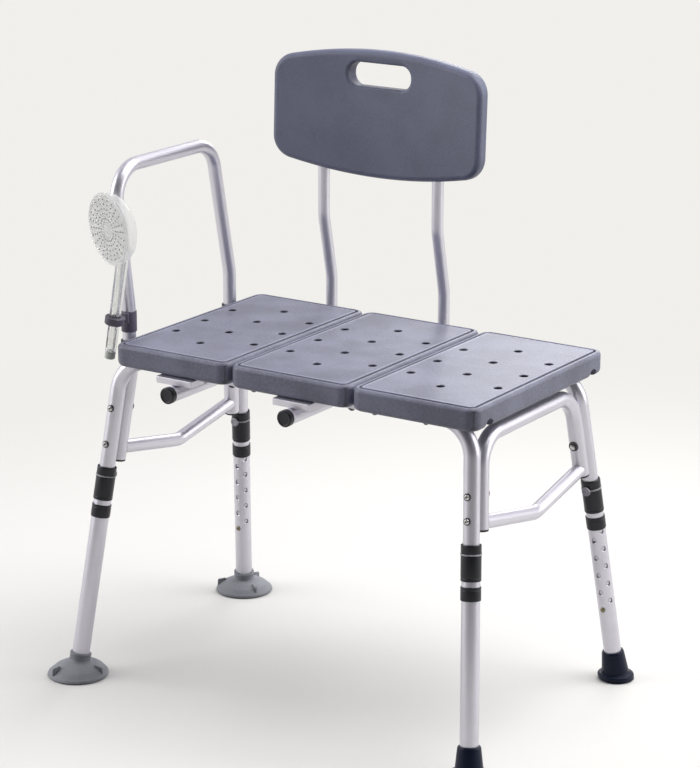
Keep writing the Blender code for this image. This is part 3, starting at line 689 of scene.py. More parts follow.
# %% Tree helpers
class Tree(Graph):
    """A Geometry Nodes tree with named inputs, which are read as tree["Radius"]."""

    def __init__(self, name, dials):
        super().__init__(bpy.data.node_groups.new(name, "GeometryNodeTree"))
        dials = {"Geometry": "Geometry", **dials, "Material": "Material"}
        self.tree.interface.new_socket("Geometry", in_out="OUTPUT", socket_type="NodeSocketGeometry")
        for label, kind in dials.items():
            self.tree.interface.new_socket(label, in_out="INPUT", socket_type="NodeSocket" + kind)
        start = self.tree.nodes.new("NodeGroupInput")
        self.dials = {label: Signal(self, start.outputs[label]) for label in dials}

    def __getitem__(self, label):
        return self.dials[label]

    def spot(self, x=0.0, y=0.0, z=0.0):
        """A place, a step or a turn from three numbers."""
        return self.node("ShaderNodeCombineXYZ", {}, {0: x, 1: y, 2: z})

    def row(self, count, first, gap):
        """Points in a straight row."""
        return self.node("GeometryNodeMeshLine", {},
                         {"Count": count, "Start Location": first, "Offset": gap})

    def copies(self, points, shape, **inlets):
        """A copy of a shape on each point."""
        return self.node("GeometryNodeInstanceOnPoints", {},
                         {"Points": points, "Instance": shape, **inlets})

    def joined(self, *shapes):
        """Several shapes as one."""
        join = self.tree.nodes.new("GeometryNodeJoinGeometry")
        for shape in shapes:
            self.feed(join.inputs[0], shape)
        return Signal(self, join.outputs[0])

    def shape_of(self, label):
        """The shape of the object on a dial."""
        return self.node("GeometryNodeObjectInfo", {}, {"Object": self[label]}, "Geometry")

    def real(self, shape):
        """Real geometry in place of copies."""
        return self.node("GeometryNodeRealizeInstances", {}, {"Geometry": shape})

    def less(self, shape, tools):
        """A shape with others cut out of it."""
        return self.node("GeometryNodeMeshBoolean", {"operation": "DIFFERENCE", "solver": "EXACT"},
                         {"Mesh 1": shape, "Mesh 2": self.real(tools)}, "Mesh")

    def close(self, shape):
        """End the tree: real geometry with its material on it."""
        painted = self.node("GeometryNodeSetMaterial", {},
                            {"Geometry": self.real(shape), "Material": self["Material"]})
        self.feed(self.tree.nodes.new("NodeGroupOutput").inputs["Geometry"], painted)
        print("tree", self.tree.name, "with", len(self.tree.nodes), "nodes")


def grown(name, start, tree, dials):
    """Run a tree on a start mesh and return the plain mesh that comes out."""
    thing = stand_in(name, start)
    modifier = thing.modifiers.new("tree", "NODES")
    modifier.node_group = tree.tree
    for item in tree.tree.interface.items_tree:
        if item.in_out == "INPUT" and item.name in dials:
            modifier[item.identifier] = dials[item.name]
    return settled(thing)


print("a tree can use:", [name for name in vars(Tree) if name[0] != "_"])

# %% The tube tree
tube_tree = Tree("swept_tube", {"Radius": "Float", "Sides": "Int"})
curve = tube_tree.node("GeometryNodeMeshToCurve", {}, {"Mesh": tube_tree["Geometry"]})
circle = tube_tree.node("GeometryNodeCurvePrimitiveCircle", {},
                        {"Resolution": tube_tree["Sides"], "Radius": tube_tree["Radius"]})
tube_tree.close(tube_tree.node("GeometryNodeCurveToMesh", {},
                               {"Curve": curve, "Profile Curve": circle, "Fill Caps": True}))

# %% [markdown]
# ## Numbers on the mesh
#
# A finish can follow a piece only if the mesh tells it how. So each tube's corners store how far
# along the tube they lie and in which direction from its middle line, for the hair lines. Other
# meshes store a share from 0 to 1 for how deep a spot lies or how much it stands out, which the
# finishes turn into painted shade and painted highlight.

# %% Marks for the finishes
def corners_of(mesh):
    """The places of all corners, a row for each."""
    corners = np.empty(len(mesh.vertices) * 3)
    mesh.vertices.foreach_get("co", corners)
    return corners.reshape(-1, 3)


def store(mesh, name, values):
    """Keep a number or a direction at each corner under a name."""
    kind, key = ("FLOAT", "value") if values.ndim == 1 else ("FLOAT_VECTOR", "vector")
    stored = mesh.attributes.get(name) or mesh.attributes.new(name, kind, "POINT")
    stored.data.foreach_set(key, values.astype(np.float32).ravel())


def mark(mesh, name, share_of):
    """Store a share of 0 to 1 at each corner, from a rule on the corners' places."""
    store(mesh, name, np.clip(share_of(corners_of(mesh)), 0, 1))


def mark_drawn(mesh, line):
    """Store how far along its line each corner lies, and its direction from the line."""
    spots = np.array([tuple(spot) for spot in line])
    steps = spots[1:] - spots[:-1]
    lengths = np.linalg.norm(steps, axis=1)
    before = np.concatenate([[0.0], np.cumsum(lengths)[:-1]])
    corners = corners_of(mesh)
    best = np.full(len(corners), 1e9)
    along = np.zeros(len(corners))
    away = np.zeros_like(corners)
    for start, step, length, first in zip(spots, steps, lengths, before):
        share = np.clip((corners - start) @ step / length ** 2, 0, 1)
        offset = corners - start - share[:, None] * step
        far = np.linalg.norm(offset, axis=1)
        nearer = far < best
        best[nearer] = far[nearer]
        along[nearer] = first + share[nearer] * length
        away[nearer] = offset[nearer]
    away /= np.maximum(np.linalg.norm(away, axis=1), 1e-6)[:, None]
    store(mesh, "along", along)
    store(mesh, "across", away)
    return mesh


print("marks that the finishes read: along, across, deep and lip")


# %% Sweep a tube
def swept_tube(name, line, radius, sides=40):
    """A closed round tube along a line."""
    path = bpy.data.meshes.new(name)
    path.from_pydata([tuple(spot) for spot in line],
                     [(at, at + 1) for at in range(len(line) - 1)], [])
    return grown(name, path, tube_tree, {"Radius": radius, "Sides": sides, "Material": tube_finish})


def straight(start, end, radius, sides=32):
    """A plain round rod, mostly used as a cutter."""
    return swept_tube("rod", [Vector(start), Vector(end)], radius, sides)


print("a straight rod has", len(straight((0, 0, 0), (0, 0, 1), 0.01).vertices), "corners")

# %% [markdown]
# ## Frame tubes
#
# The two bows carry the seat, and each is one tube: leg, run under the panels, leg. Small holes at
# the inner side of each leg take the lock pins of the telescopic feet. The braces are coped, which
# means that their ends are cut to the round of the tube they meet. The receivers are bored for the
# ends of the hoop. All of these are real cuts, made with small rods.

# %% Bows, arch, braces, receivers, hoop and posts
lock_step, lock_top, pin_holes = 0.0151, 0.3355, 7
arm_radius, brace_radius, post_radius = 0.011, 0.0112, 0.00975
radii = {"brace_left": brace_radius, "brace_right": brace_radius, "armrest_hoop": arm_radius,
         "back_post_left": post_radius, "back_post_right": post_radius}
cuts = {name: [] for name in lines}
for side, end in legs.values():
    for step in range(pin_holes):
        middle = leg_spot(side, end, lock_top - step * lock_step)
        cuts["front_bow" if end < 0 else "rear_bow"].append(
            straight(middle - outward(side, end) * 0.006, middle - outward(side, end) * 0.016,
                     0.0035, 20))
for name, side in (("brace_left", -1), ("brace_right", 1)):
    cuts[name] = [straight(leg_spot(side, end, 0.325, beside), leg_spot(side, end, 0.425, beside),
                           tube_radius + fit_gap, 48) for end in (-1, 1)]
for name, end in (("arm_receiver_front", -1), ("arm_receiver_rear", 1)):
    cuts[name] = [straight((arm_x, end * arm_y, 0.516), (arm_x, end * arm_y, 0.55),
                           arm_radius + fit_gap, 40)]
for name, line in lines.items():
    tube = swept_tube(name, line, radii.get(name, tube_radius))
    if cuts[name]:
        tube = carved(tube, cuts[name])
    piece(name + "_tube", mark_drawn(tube, line), "backrest" if "post" in name else "frame", [name],
          tube_finish)
print("tubes:", [name for name in lines])

# %% [markdown]
# ## Plates and rings
#
# Plates are stacks of outlines. Each outline is a row of spots, and a skin joins each row to the
# next. The same small function closes the panels, the feet and the bands of the legs.

# %% Flat outlines and plates
def outline_of(width, depth, corner, steps=10):
    """A rectangle with round corners, counter-clockwise."""
    spots = []
    for quarter in range(4):
        sign_x, sign_y = (1 if quarter in (0, 3) else -1), (1 if quarter in (0, 1) else -1)
        for step in range(steps + 1):
            turn = math.pi / 2 * (quarter + step / steps)
            spots.append((sign_x * (width / 2 - corner) + corner * math.cos(turn),
                          sign_y * (depth / 2 - corner) + corner * math.sin(turn)))
    return spots


def ringed(name, rows):
    """A closed skin over rows of spots that have the same number of spots each."""
    grid = bmesh.new()
    rows = [[grid.verts.new(spot) for spot in row] for row in rows]
    for low, high in zip(rows, rows[1:]):
        for at in range(len(low)):
            after = (at + 1) % len(low)
            grid.faces.new((low[at], low[after], high[after], high[at]))
    grid.faces.new(rows[0][::-1])
    grid.faces.new(rows[-1])
    return as_mesh(name, grid)


def slab(name, outline, low, high, rim=0.0, segments=4):
    """A plate between two heights whose rims are rounded with a bevel."""
    mesh = ringed(name, [[(x, y, height) for x, y in outline] for height in (low, high)])
    if not rim:
        return mesh
    thing = stand_in(name, mesh)
    modifier = thing.modifiers.new("rim", "BEVEL")
    modifier.width = rim
    modifier.segments = segments
    modifier.limit_method = "ANGLE"
    modifier.angle_limit = math.radians(50)
    return settled(thing)


print("a plate has", len(slab("test", outline_of(0.1, 0.1, 0.01), 0, 0.01).polygons), "faces")

# %% [markdown]
# ## Turned parts
#
# Collars, plugs, ferrules and screws are round, so each is a profile spun about an axis. Real
# moulded corners are never knife sharp. One function replaces each corner of a profile by a short
# arc, and those small arcs catch the light that makes a black collar readable.

# %% Turning
def eased(profile, radius, closed=False, steps=4):
    """A profile with a small arc in place of each corner."""
    points = [Vector(spot) for spot in profile]
    count = len(points)
    result = []
    for at, corner in enumerate(points):
        if not closed and at in (0, count - 1):
            result.append(corner)
            continue
        back, ahead = points[at - 1] - corner, points[(at + 1) % count] - corner
        reach = min(radius, 0.45 * back.length, 0.45 * ahead.length)
        first, last = corner + back.normalized() * reach, corner + ahead.normalized() * reach
        for step in range(steps + 1):
            part = step / steps
            result.append(first * (1 - part) ** 2 + corner * 2 * part * (1 - part) + last * part ** 2)
    return result


def about(spot, turn):
    """A (radius, height) pair turned about Z."""
    return spot[0] * math.cos(turn), spot[0] * math.sin(turn), spot[1]


def turned(name, profile, place=None, sides=56, ease=0.0006):
    """(radius, height) pairs spun about Z, a closed ring unless they start on the axis."""
    closed = profile[0][0] > 0
    grid = bmesh.new()
    rows = []
    for spot in eased(profile, ease, closed):
        if spot[0] < 0.000001:
            rows.append([grid.verts.new((0, 0, spot[1]))] * sides)
        else:
            rows.append([grid.verts.new(about(spot, 2 * math.pi * at / sides))
                         for at in range(sides)])
    for low, high in list(zip(rows, rows[1:])) + ([(rows[-1], rows[0])] if closed else []):
        for at in range(sides):
            after = (at + 1) % sides
            around = [low[at], low[after], high[after], high[at]]
            unique = [vert for number, vert in enumerate(around) if vert not in around[:number]]
            if len(unique) > 2:
                grid.faces.new(unique)
    mesh = as_mesh(name, grid)
    if place is not None:
        mesh.transform(place)
    return mesh


disc = turned("test", [(0, 0), (0.01, 0), (0.01, 0.002), (0, 0.002)])
print("a turned disc has", len(disc.polygons), "faces")

# %% [markdown]
# ## Plugs and ferrules
#
# The open ends of the arch and the receivers are closed with black plastic plugs that have a shallow
# dish below. Where the hoop enters a receiver, a black ferrule closes the gap and hides the cut edge
# of the outer tube. A fine groove runs round it.

# %% Caps
def leg_place(side, end, height=0.0, inward=0.0):
    """A place on a leg with Z up the leg and X toward the middle of the bench."""
    return stood(leg_spot(side, end, height, inward), leg_axis(side, end), (0, -end, 0))


plug_profile = [(0, 0), (0.0127, 0), (0.0127, -0.0024), (0.0112, -0.0032), (0.0062, -0.0032),
                (0.0054, -0.0022), (0, -0.0022)]
ferrule_profile = [(0.0128, 0.553), (0.0138, 0.552), (0.0138, 0.5412), (0.0133, 0.5406),
                   (0.0133, 0.5398), (0.0138, 0.5392), (0.0138, 0.5375), (0.0130, 0.5375),
                   (0.0130, 0.5483), (0.0113, 0.5483), (0.0113, 0.553)]
caps = {}
for name, (side, end) in legs.items():
    height = arch_end if side > 0 else receiver_end
    place = leg_place(side, end, height, beside) @ Matrix.Translation((0, 0, -fit_gap))
    caps["end_plug_" + name] = turned("plug", plug_profile, place, 48, 0.0004)
for name, end in (("front", -1), ("rear", 1)):
    place = Matrix.Translation((arm_x, end * arm_y, 0))
    caps["arm_ferrule_" + name] = turned("ferrule", ferrule_profile, place, 56, 0.0004)
for name, cap in caps.items():
    piece(name + "_cap", cap, "frame", [name], black_finish)
print("caps:", [name for name in caps])

# %% [markdown]
# ## Telescopic legs
#
# A lower tube slides over each frame leg. Two rows of dimpled holes run down it, and a spring button
# snaps into the one that is wanted. A small screw in the lowest hole is the stop.
#
# The holes are the same drill moved by a fixed pitch, which is what instances are for. The tree
# below sets points along two lines, puts a copy of the drill on each and takes them all out of the
# tube at once.

# %% The hole tree
drilled_tree = Tree("drilled_rows", {"Drill": "Object", "Rows": "Int", "Pitch": "Float",
                                     "First": "Float", "Column Turn": "Float"})
bit = drilled_tree.shape_of("Drill")
down = drilled_tree.spot(z=drilled_tree["Pitch"] * -1.0)
columns = []
for turned_by, lift in ((0.0, 0.0), (1.0, 0.5)):
    first = drilled_tree.spot(z=drilled_tree["First"] + drilled_tree["Pitch"] * lift)
    facing = drilled_tree.spot(z=drilled_tree["Column Turn"] * turned_by)
    column = drilled_tree.row(drilled_tree["Rows"], first, down)
    columns.append(drilled_tree.copies(column, bit, Rotation=facing))
drilled_tree.close(drilled_tree.less(drilled_tree["Geometry"], drilled_tree.joined(*columns)))

# %% Lower tubes and stop screws
hole_pitch, hole_rows = 2 * lock_step, 5
first_hole = lock_top - 3 * hole_pitch + 0.004
last_hole = first_hole - (hole_rows - 1) * hole_pitch
lock_at = lock_top * lean_stretch
leg_top, leg_bottom, leg_bore = 0.347 * lean_stretch, 0.0105 * lean_stretch, 0.0130
pin_hole = 0.0033


def facing_out(away, height):
    """A place on an upright leg, away from its axis, with Z pointing outward."""
    return stood((away, 0, height), (1, 0, 0), (0, 0, 1))


def in_dimple(spots):
    """Painted shade: more than 0 for what lies below the tube's skin."""
    return (leg_outer - 0.0001 - np.linalg.norm(spots[:, :2], axis=1)) / 0.0008


drill = turned("drill", [(0, -0.004), (0.0030, -0.004), (0.0030, -0.0008), (0.0039, -0.0004),
                         (0.0052, 0.0006), (0.0052, 0.004), (0, 0.004)],
               facing_out(0.0138, 0), 24, 0.0003)
drill_thing = stand_in("drill", drill)
stop_profile = [(0, -0.0012), (0.0044, -0.0012), (0.0044, 0.0006), (0.0030, 0.0015),
                (0.0013, 0.0015), (0.0013, 0.0004), (0, 0.0004)]
for name, (side, end) in legs.items():
    place = leg_place(side, end)
    tube = turned("leg_tube", [(leg_outer, leg_top), (leg_outer, leg_bottom),
                               (leg_bore, leg_bottom), (leg_bore, leg_top)], None, 72, 0.0003)
    tube = grown("leg_tube", tube, drilled_tree,
                 {"Drill": drill_thing, "Rows": hole_rows, "Pitch": hole_pitch * lean_stretch,
                  "First": first_hole * lean_stretch, "Column Turn": math.radians(60),
                  "Material": tube_finish})
    tube = carved(tube, [straight((0.009, 0, lock_at), (0.017, 0, lock_at), pin_hole, 24)])
    # Painted shade in the dimples and bores of the lower tube.
    mark(tube, "painted_shade", in_dimple)
    tube.transform(place)
    mark_drawn(tube, [leg_spot(side, end, 0), leg_spot(side, end, 0.36)])
    piece("lower_leg_" + name, tube, "leg_" + name, ["leg_tube_" + name], tube_finish)
    stop_place = place @ facing_out(leg_outer, last_hole * lean_stretch)
    stop = turned("stop", stop_profile, stop_place, 32, 0.0003)
    piece("stop_screw_" + name, stop, "leg_" + name, [], stop_finish, 30)
bpy.data.objects.remove(drill_thing, do_unlink=True)
print("lower tubes:", len(legs), "with", 2 * hole_rows, "holes each")

# %% [markdown]
# ## Collars
#
# Two black collars clasp each lower tube. A fine groove runs round each, and the upper one has a
# wider groove as a seat for the snap ring. A collar is one profile, so a groove is four spots that
# are put between its upper and its lower edge.

# %% Collars
collar_radius, collar_bore, ring_depth = 0.0157, leg_outer + fit_gap, 0.0006


def groove(at, half, slope, depth):
    """Four spots of a groove round a collar, from its upper edge to its lower one."""
    return [(collar_radius, at + half), (collar_radius - depth, at + half - slope),
            (collar_radius - depth, at - half + slope), (collar_radius, at - half)]


def collar(low, high, grooves):
    """A black band round an upright leg, between two heights along it."""
    profile = [(collar_bore, high), (collar_radius - 0.0004, high), (collar_radius, high - 0.001),
               *grooves,
               (collar_radius, low + 0.001), (collar_radius - 0.0004, low), (collar_bore, low)]
    return turned("collar", profile, None, 64, 0.0003)


upper_low, upper_high = 0.296 * lean_stretch, 0.350 * lean_stretch
lower_low, lower_high = 0.267 * lean_stretch, 0.288 * lean_stretch
fine = {"half": 0.00085, "slope": 0.0005, "depth": 0.0004}
for name, (side, end) in legs.items():
    upper = collar(upper_low, upper_high, groove(lock_at, 0.0016, 0.0003, ring_depth)
                   + groove(upper_low + 0.00515, **fine))
    upper = carved(upper, [straight((0.012, 0, lock_at), (0.018, 0, lock_at), pin_hole, 24)])
    lower = collar(lower_low, lower_high, groove(lower_high - 0.00485, **fine))
    for kind, mesh in (("upper", upper), ("lower", lower)):
        mesh.transform(leg_place(side, end))
        piece("collar_" + kind + "_" + name, mesh, "leg_" + name, [kind + "_collar_" + name],
              black_finish)

# %% [markdown]
# ## Snap rings and buttons
#
# A grey plastic ring lies in the wide groove and opens where the button stands. It isn't a full turn,
# so it is a row of sections rather than a turned part. The button is one: a dished head, and a pin
# that goes through the collar, the lower tube and the frame leg.

# %% Snap rings and buttons
band_thick, band_half, pin_radius = 0.0010, 0.0012, 0.0029
ring_seat = collar_radius - ring_depth + fit_gap
head_at = ring_seat + fit_gap + 0.0022
opening = math.asin((pin_radius + 0.0016) / ring_seat)
section = eased([(ring_seat + out, height, 0) for out, height in
                 ((0, -band_half), (band_thick, -band_half),
                  (band_thick, band_half), (0, band_half))], 0.0004, True, 3)
button_profile = [(0, head_at + 0.0020), (0.0030, head_at + 0.0021), (0.0042, head_at + 0.0026),
                  (0.0064, head_at + 0.0026), (0.0075, head_at + 0.0016), (0.0075, head_at),
                  (pin_radius, head_at), (pin_radius, 0.0094), (0.0023, 0.0088), (0, 0.0088)]
for name, (side, end) in legs.items():
    place = leg_place(side, end)
    rows = [[place @ Vector(about((spot[0], lock_at + spot[1]), turn)) for spot in section]
            for turn in (opening + (2 * math.pi - 2 * opening) * step / 72 for step in range(73))]
    piece("snap_ring_" + name, ringed("snap_ring", rows), "leg_" + name, ["lock_ring_" + name],
          clip_finish)
    button = turned("button", button_profile, place @ facing_out(0, lock_at), 48, 0.0005)
    piece("snap_button_" + name, button, "button_" + name, ["lock_button_" + name], clip_finish)
print("a ring opens by", round(2 * math.degrees(opening)), "degrees round its button")

# %% [markdown]
# ## Feet
#
# The feet in the bath are suction cups with three pull tabs on the rim, and the feet outside are
# flared rubber tips. A foot stands flat on the floor while its neck leans with the leg. So its rings
# are turned bit by bit from upright to the leg's own direction, which a plain spin can't do. The
# skin over the rings is a loft.
#
# A foot's profile has three numbers at each spot: radius, height and lean, where lean goes from 0,
# upright, to 1, along the leg. The lean is made small while the corners are rounded, so that it
# doesn't count as a distance.

# %% Lofted feet
def lofted(name, rings, sides=72):
    """A closed skin over rings given as (middle, direction, radius)."""
    rows = []
    for middle, direction, radius in rings:
        side = Vector((0, 1, 0)).cross(direction).normalized()
        ahead = Vector(direction).cross(side).normalized()
        rows.append([Vector(middle) + (side * math.cos(turn) + ahead * math.sin(turn)) * radius
                     for turn in (2 * math.pi * at / sides for at in range(sides))])
    return ringed(name, rows)


def foot_rings(side, end, profile, ease=0.0010):
    """Rings of a foot from (radius, height, lean) triples."""
    up, axis = Vector((0, 0, 1)), leg_axis(side, end)
    spots = eased([(radius, height, lean / 100) for radius, height, lean in profile], ease)
    return [(leg_spot(side, end, height),
             up.lerp(axis, max(0.0, min(1.0, lean * 100))).normalized(), radius)
            for radius, height, lean in spots]


def tab(foot, turn):
    """A pull tab of a suction cup: a small fin that stands across the rim."""
    outline = eased([(0.0310, 0.0100, 0), (0.0472, 0.0050, 0), (0.0470, 0.0190, 0),
                     (0.0325, 0.0222, 0)], 0.0026, True, 4)
    mesh = slab("tab", [spot[:2] for spot in outline], -0.0015, 0.0015, 0.0006, 2)
    mesh.transform(Matrix.Translation(foot) @ Matrix.Rotation(turn, 4, "Z")
                   @ Matrix.Rotation(math.pi / 2, 4, "X"))
    return mesh


print("a tab has", len(tab((0, 0, 0), 0.0).polygons), "faces")

# %% Cups and tips
foot_bore, bore_floor = leg_outer + fit_gap, 0.0102
cup_neck, tip_neck = leg_outer + 0.003, leg_outer + 0.0035
cup_profile = [(0.0480, 0, 0), (0.0500, 0.0025, 0), (0.0485, 0.0060, 0), (0.0462, 0.0078, 0),
               (0.0458, 0.0082, 0), (0.0400, 0.0140, 0), (0.0345, 0.0172, 0), (0.0290, 0.0200, 0),
               (0.0193, 0.0235, 0.5), (cup_neck, 0.0262, 1), (cup_neck, 0.0340, 1),
               (cup_neck + 0.0003, 0.0348, 1), (cup_neck + 0.0003, 0.0366, 1),
               (cup_neck - 0.0004, 0.0380, 1), (foot_bore, 0.0380, 1), (foot_bore, bore_floor, 1)]
tip_profile = [(0.0275, 0, 0), (0.0293, 0.0016, 0), (0.0293, 0.0030, 0), (0.0287, 0.0034, 0),
               (0.0287, 0.0040, 0), (0.0295, 0.0044, 0), (0.0296, 0.0085, 0), (0.0286, 0.0102, 0),
               (0.0262, 0.0112, 0), (tip_neck + 0.0052, 0.0118, 0.3),
               (tip_neck + 0.0042, 0.0132, 0.5), (tip_neck + 0.0030, 0.0230, 0.8),
               (tip_neck + 0.0014, 0.0380, 1), (tip_neck + 0.0002, 0.0475, 1),
               (tip_neck - 0.0010, 0.0500, 1), (foot_bore, 0.0500, 1), (foot_bore, bore_floor, 1)]
feet = []
for name, (side, end) in legs.items():
    if side < 0:
        first_tab = 8 if end < 0 else 92
        tabs = [tab(leg_spot(side, end, 0), math.radians(first_tab + 120 * number))
                for number in range(3)]
        cup = carved(lofted("cup", foot_rings(side, end, cup_profile)), tabs, "UNION")
        feet.append(piece("cup_foot_" + name, cup, "leg_" + name, ["suction_foot_" + name],
                          cup_finish, 40))
    else:
        tip = lofted("tip", foot_rings(side, end, tip_profile))
        feet.append(piece("tip_foot_" + name, tip, "leg_" + name, ["rubber_tip_" + name],
                          tip_finish, 40))
print("feet:", {foot.name: len(foot.data.polygons) for foot in feet})

# %% [markdown]
# ## Seat panels
#
# Each panel is blow moulded: two skins of plastic around air, with a rounded rim, a fine groove
# that collects the water, ten drain holes and a channel below for each bow. The holes stand in
# columns of three, four and three. The tree takes a plain plate and cuts the pattern, and its dials
# are the pitch of the holes and their height. The drill is a turned piece: a flare that eases each
# rim, a thin lip, and a wider bore below it, which is why the holes look dark from above. Painted
# shade on their walls makes them darker still.

# %% The drain tree
drain_tree = Tree("drained_panel", {"Drill": "Object", "Across": "Float", "Along": "Float",
                                    "Top": "Float"})
along = drain_tree["Along"]
outer = drain_tree.node("GeometryNodeMeshGrid", {}, {
    "Size X": drain_tree["Across"] * 2.0, "Size Y": along * 2.0, "Vertices X": 2, "Vertices Y": 3})
outer = drain_tree.node("GeometryNodeTransform", {}, {
    "Geometry": outer, "Translation": drain_tree.spot(z=drain_tree["Top"])})
middle = drain_tree.row(4, drain_tree.spot(y=along * -1.5, z=drain_tree["Top"]),
                        drain_tree.spot(y=along))
holes = drain_tree.copies(drain_tree.joined(outer, middle), drain_tree.shape_of("Drill"))
drain_tree.close(drain_tree.less(drain_tree["Geometry"], holes))

# %% [markdown]
# ## The panel's rim
#
# A cut groove has hard edges and shows as a thin grey line. On the real panel the rim is a soft
# roll: it comes up from the side, dips into the groove, rises to a low lip and runs out into the
# flat seat. So the panel is made as a stack of outlines, each set inward by a little and lifted or
# lowered by a little. The shading of the roll then comes from its shape. On top of that, two marks
# paint shade into the colour of the groove, holes and channels, and paint a highlight on the lip.
#
# At the outer end of the bench each channel stops short of the end wall, which has only a small
# round notch over the bow. At the other end the bow leaves the panel, so the channel stays open.

# %% Rim, drill and channels
groove_inset, groove_depth, lip_height = 0.0098, 0.0036, 0.0004


def rounded(center_inset, center_height, radius, first, last, steps=6):
    """Spots of a rim's section on an arc, as (inset, height)."""
    return [(center_inset + radius * math.cos(turn), center_height + radius * math.sin(turn))
            for turn in (math.radians(first + (last - first) * step / steps)
                         for step in range(steps + 1))]


def arched(half_width, radius, bottom, top):
    """A channel's section, flat below and rounded above, as (across, height)."""
    rise = [(half_width - radius + radius * math.cos(turn), top - radius + radius * math.sin(turn))
            for turn in (math.pi / 2 * step / 6 for step in range(7))]
    return [(-half_width, bottom), (half_width, bottom)] + rise \
        + [(-across, height) for across, height in rise[::-1]]


def below_skin(spots):
    """Painted shade: above 0 below the top skin, 1 in holes and channels, about half in the groove.
    """
    x, y, z = spots.T
    inside = (abs(x) < panel_width / 2 - 0.004) & (abs(y) < panel_depth / 2 - 0.004)
    depth = np.clip((-z - 0.0003) / 0.0007, 0, np.where(z < -groove_depth - 0.0002, 1, 0.55))
    return depth * inside * (z > -panel_thickness + 0.001)


def on_lip(spots):
    """Painted highlight: more than 0 above the flat seat, which is only the lip beside the groove."""
    return 0.7 * np.clip(spots[:, 2] / lip_height, 0, 1)


rim_section = rounded(0.009, -panel_thickness + 0.009, 0.009, -90, -180, 8)
rim_section += rounded(0.0062, -0.0062, 0.0062, 180, 90)
rim_section += [(groove_inset + across, -groove_depth * share) for across, share in
                ((-0.0032, 0.01), (-0.0025, 0.07), (-0.0020, 0.24), (-0.0017, 0.60),
                 (-0.0013, 0.94), (-0.0008, 1), (0.0008, 1), (0.0012, 0.94), (0.0015, 0.55),
                 (0.0018, 0.20), (0.0022, 0.0), (0.0028, -0.10), (0.0035, -0.13), (0.0044, -0.11),
                 (0.0056, -0.05), (0.0070, -0.015), (0.0085, 0))]
drain_drill = turned("drain_drill", [
    (0, 0.004), (0.0084, 0.004), (0.0076, 0), (0.0069, -0.0006), (0.0066, -0.0014),
    (0.0067, -0.0022), (0.0105, -0.0040), (0.0105, -0.0320), (0.0068, -0.0340), (0.0074, -0.036),
    (0.0086, -0.040), (0, -0.040)], None, 32, 0.0003)
print("the rim's section has", len(rim_section), "spots")

# %% Three panels
channel_half, notch_half, end_wall_x, below_panel = 0.0195, 0.011, 0.340, -0.040
channel_top = bow_height + tube_radius + fit_gap - seat_height
past_panel = panel_width / 2 + 0.005
drill_thing = stand_in("drain_drill", drain_drill)
for number, name in enumerate(("left", "middle", "right")):
    center_x = seat_center[0] + (number - 1) * panel_pitch
    plate = ringed("panel", [
        [(x, y, height) for x, y in outline_of(panel_width - 2 * inset, panel_depth - 2 * inset,
                                               panel_corner - inset, 12)]
        for inset, height in rim_section])
    plate = grown("panel", plate, drain_tree, {"Drill": drill_thing, "Across": 0.0765,
                                               "Along": 0.078, "Top": 0.0, "Material": seat_finish})
    inner_end = end_wall_x - center_x if name == "right" else past_panel
    cuts = [(arched(channel_half, 0.008, below_panel, channel_top), -past_panel, inner_end)]
    if name == "right":
        cuts.append((arched(notch_half, 0.0105, below_panel, -0.0225), inner_end - 0.004, past_panel))
    cutters = [ringed("channel", [[(x, end * bow_y - seat_center[1] + across, height)
                                   for across, height in section] for x in (start, stop)])
               for end in (-1, 1) for section, start, stop in cuts]
    plate = carved(plate, cutters)
    # Painted shade in the groove, holes and channels, and a painted highlight on the lip.
    mark(plate, "painted_shade", below_skin)
    mark(plate, "lip", on_lip)
    plate.transform(Matrix.Translation((center_x, seat_center[1], seat_height)))
    made = piece("seat_plate_" + name, plate, "frame", ["seat_panel_" + name], seat_finish, 35, True)
    print(made.name, len(made.data.polygons), "faces")
bpy.data.objects.remove(drill_thing, do_unlink=True)

# %% [markdown]
# ## Backrest
#
# The back panel is a plate bowed round the bather's back. Its outline is an arch above and below
# with rounded corners. A quarter of it is worked out and mirrored into the rest. The panel's rim is
# a stack of such outlines, each set in a little from the one before.

# %% Outline of the back panel
back_width, back_middle, back_side, back_corner = 0.397, 0.2064, 0.1584, 0.0423
half_width, rise = back_width / 2, (back_middle - back_side) / 2
arc_radius = (half_width ** 2 + rise ** 2) / (2 * rise)
arc_half = half_width - back_corner


def arch_at(x):
    """Height of the panel's upper edge above its middle."""
    return back_middle / 2 - arc_radius + math.sqrt(arc_radius ** 2 - x ** 2)


def set_in(outline, inset):
    """An outline whose every spot is moved inward, square to the outline there."""
    moved = []
    for before, spot, after in zip(outline[-1:] + outline, outline, outline[1:] + outline[:1]):
        way = (Vector(after) - Vector(before)).normalized()
        moved.append((spot[0] - way.y * inset, spot[1] + way.x * inset))
    return moved


quarter = [(arc_half * step / 14, arch_at(arc_half * step / 14)) for step in range(15)]
slope = -arc_half / math.sqrt(arc_radius ** 2 - arc_half ** 2)
shoulder = quarter[-1][1] + slope * back_corner
fillet = bent_line([(arc_half - 0.01, quarter[-1][1] - slope * 0.01, 0), (half_width, shoulder, 0),
                    (half_width, 0, 0)], (back_corner * 0.88,), 16)
quarter += [(spot.x, spot.y) for spot in fillet[1:-1]]
outline = quarter + [(x, -y) for x, y in reversed(quarter)]
outline += [(-x, -y) for x, y in quarter[1:]] + [(-x, y) for x, y in reversed(quarter[1:])]
print("the outline of the back has", len(outline), "spots")

# %% [markdown]
# ## Bow and hand slot
#
# The flat slab is cut into many upright strips, each strip is pushed forward by the square of its
# distance from the middle, and that gives a smooth bow. The hand slot is cut by a tool that flares
# out at both faces, because hands need a soft rim. The tool is bowed with the panel.

# %% Bowed plate
back_thick, back_bow, back_lean = 0.028, 0.0139, math.radians(2.3)
half_thick, rim, strips = back_thick / 2, 0.0095, 40
back_front = Vector((0, -math.cos(back_lean), math.sin(back_lean)))
back_place = stood((back_x, 0.2152, 0.7845 + back_middle / 2), back_front)


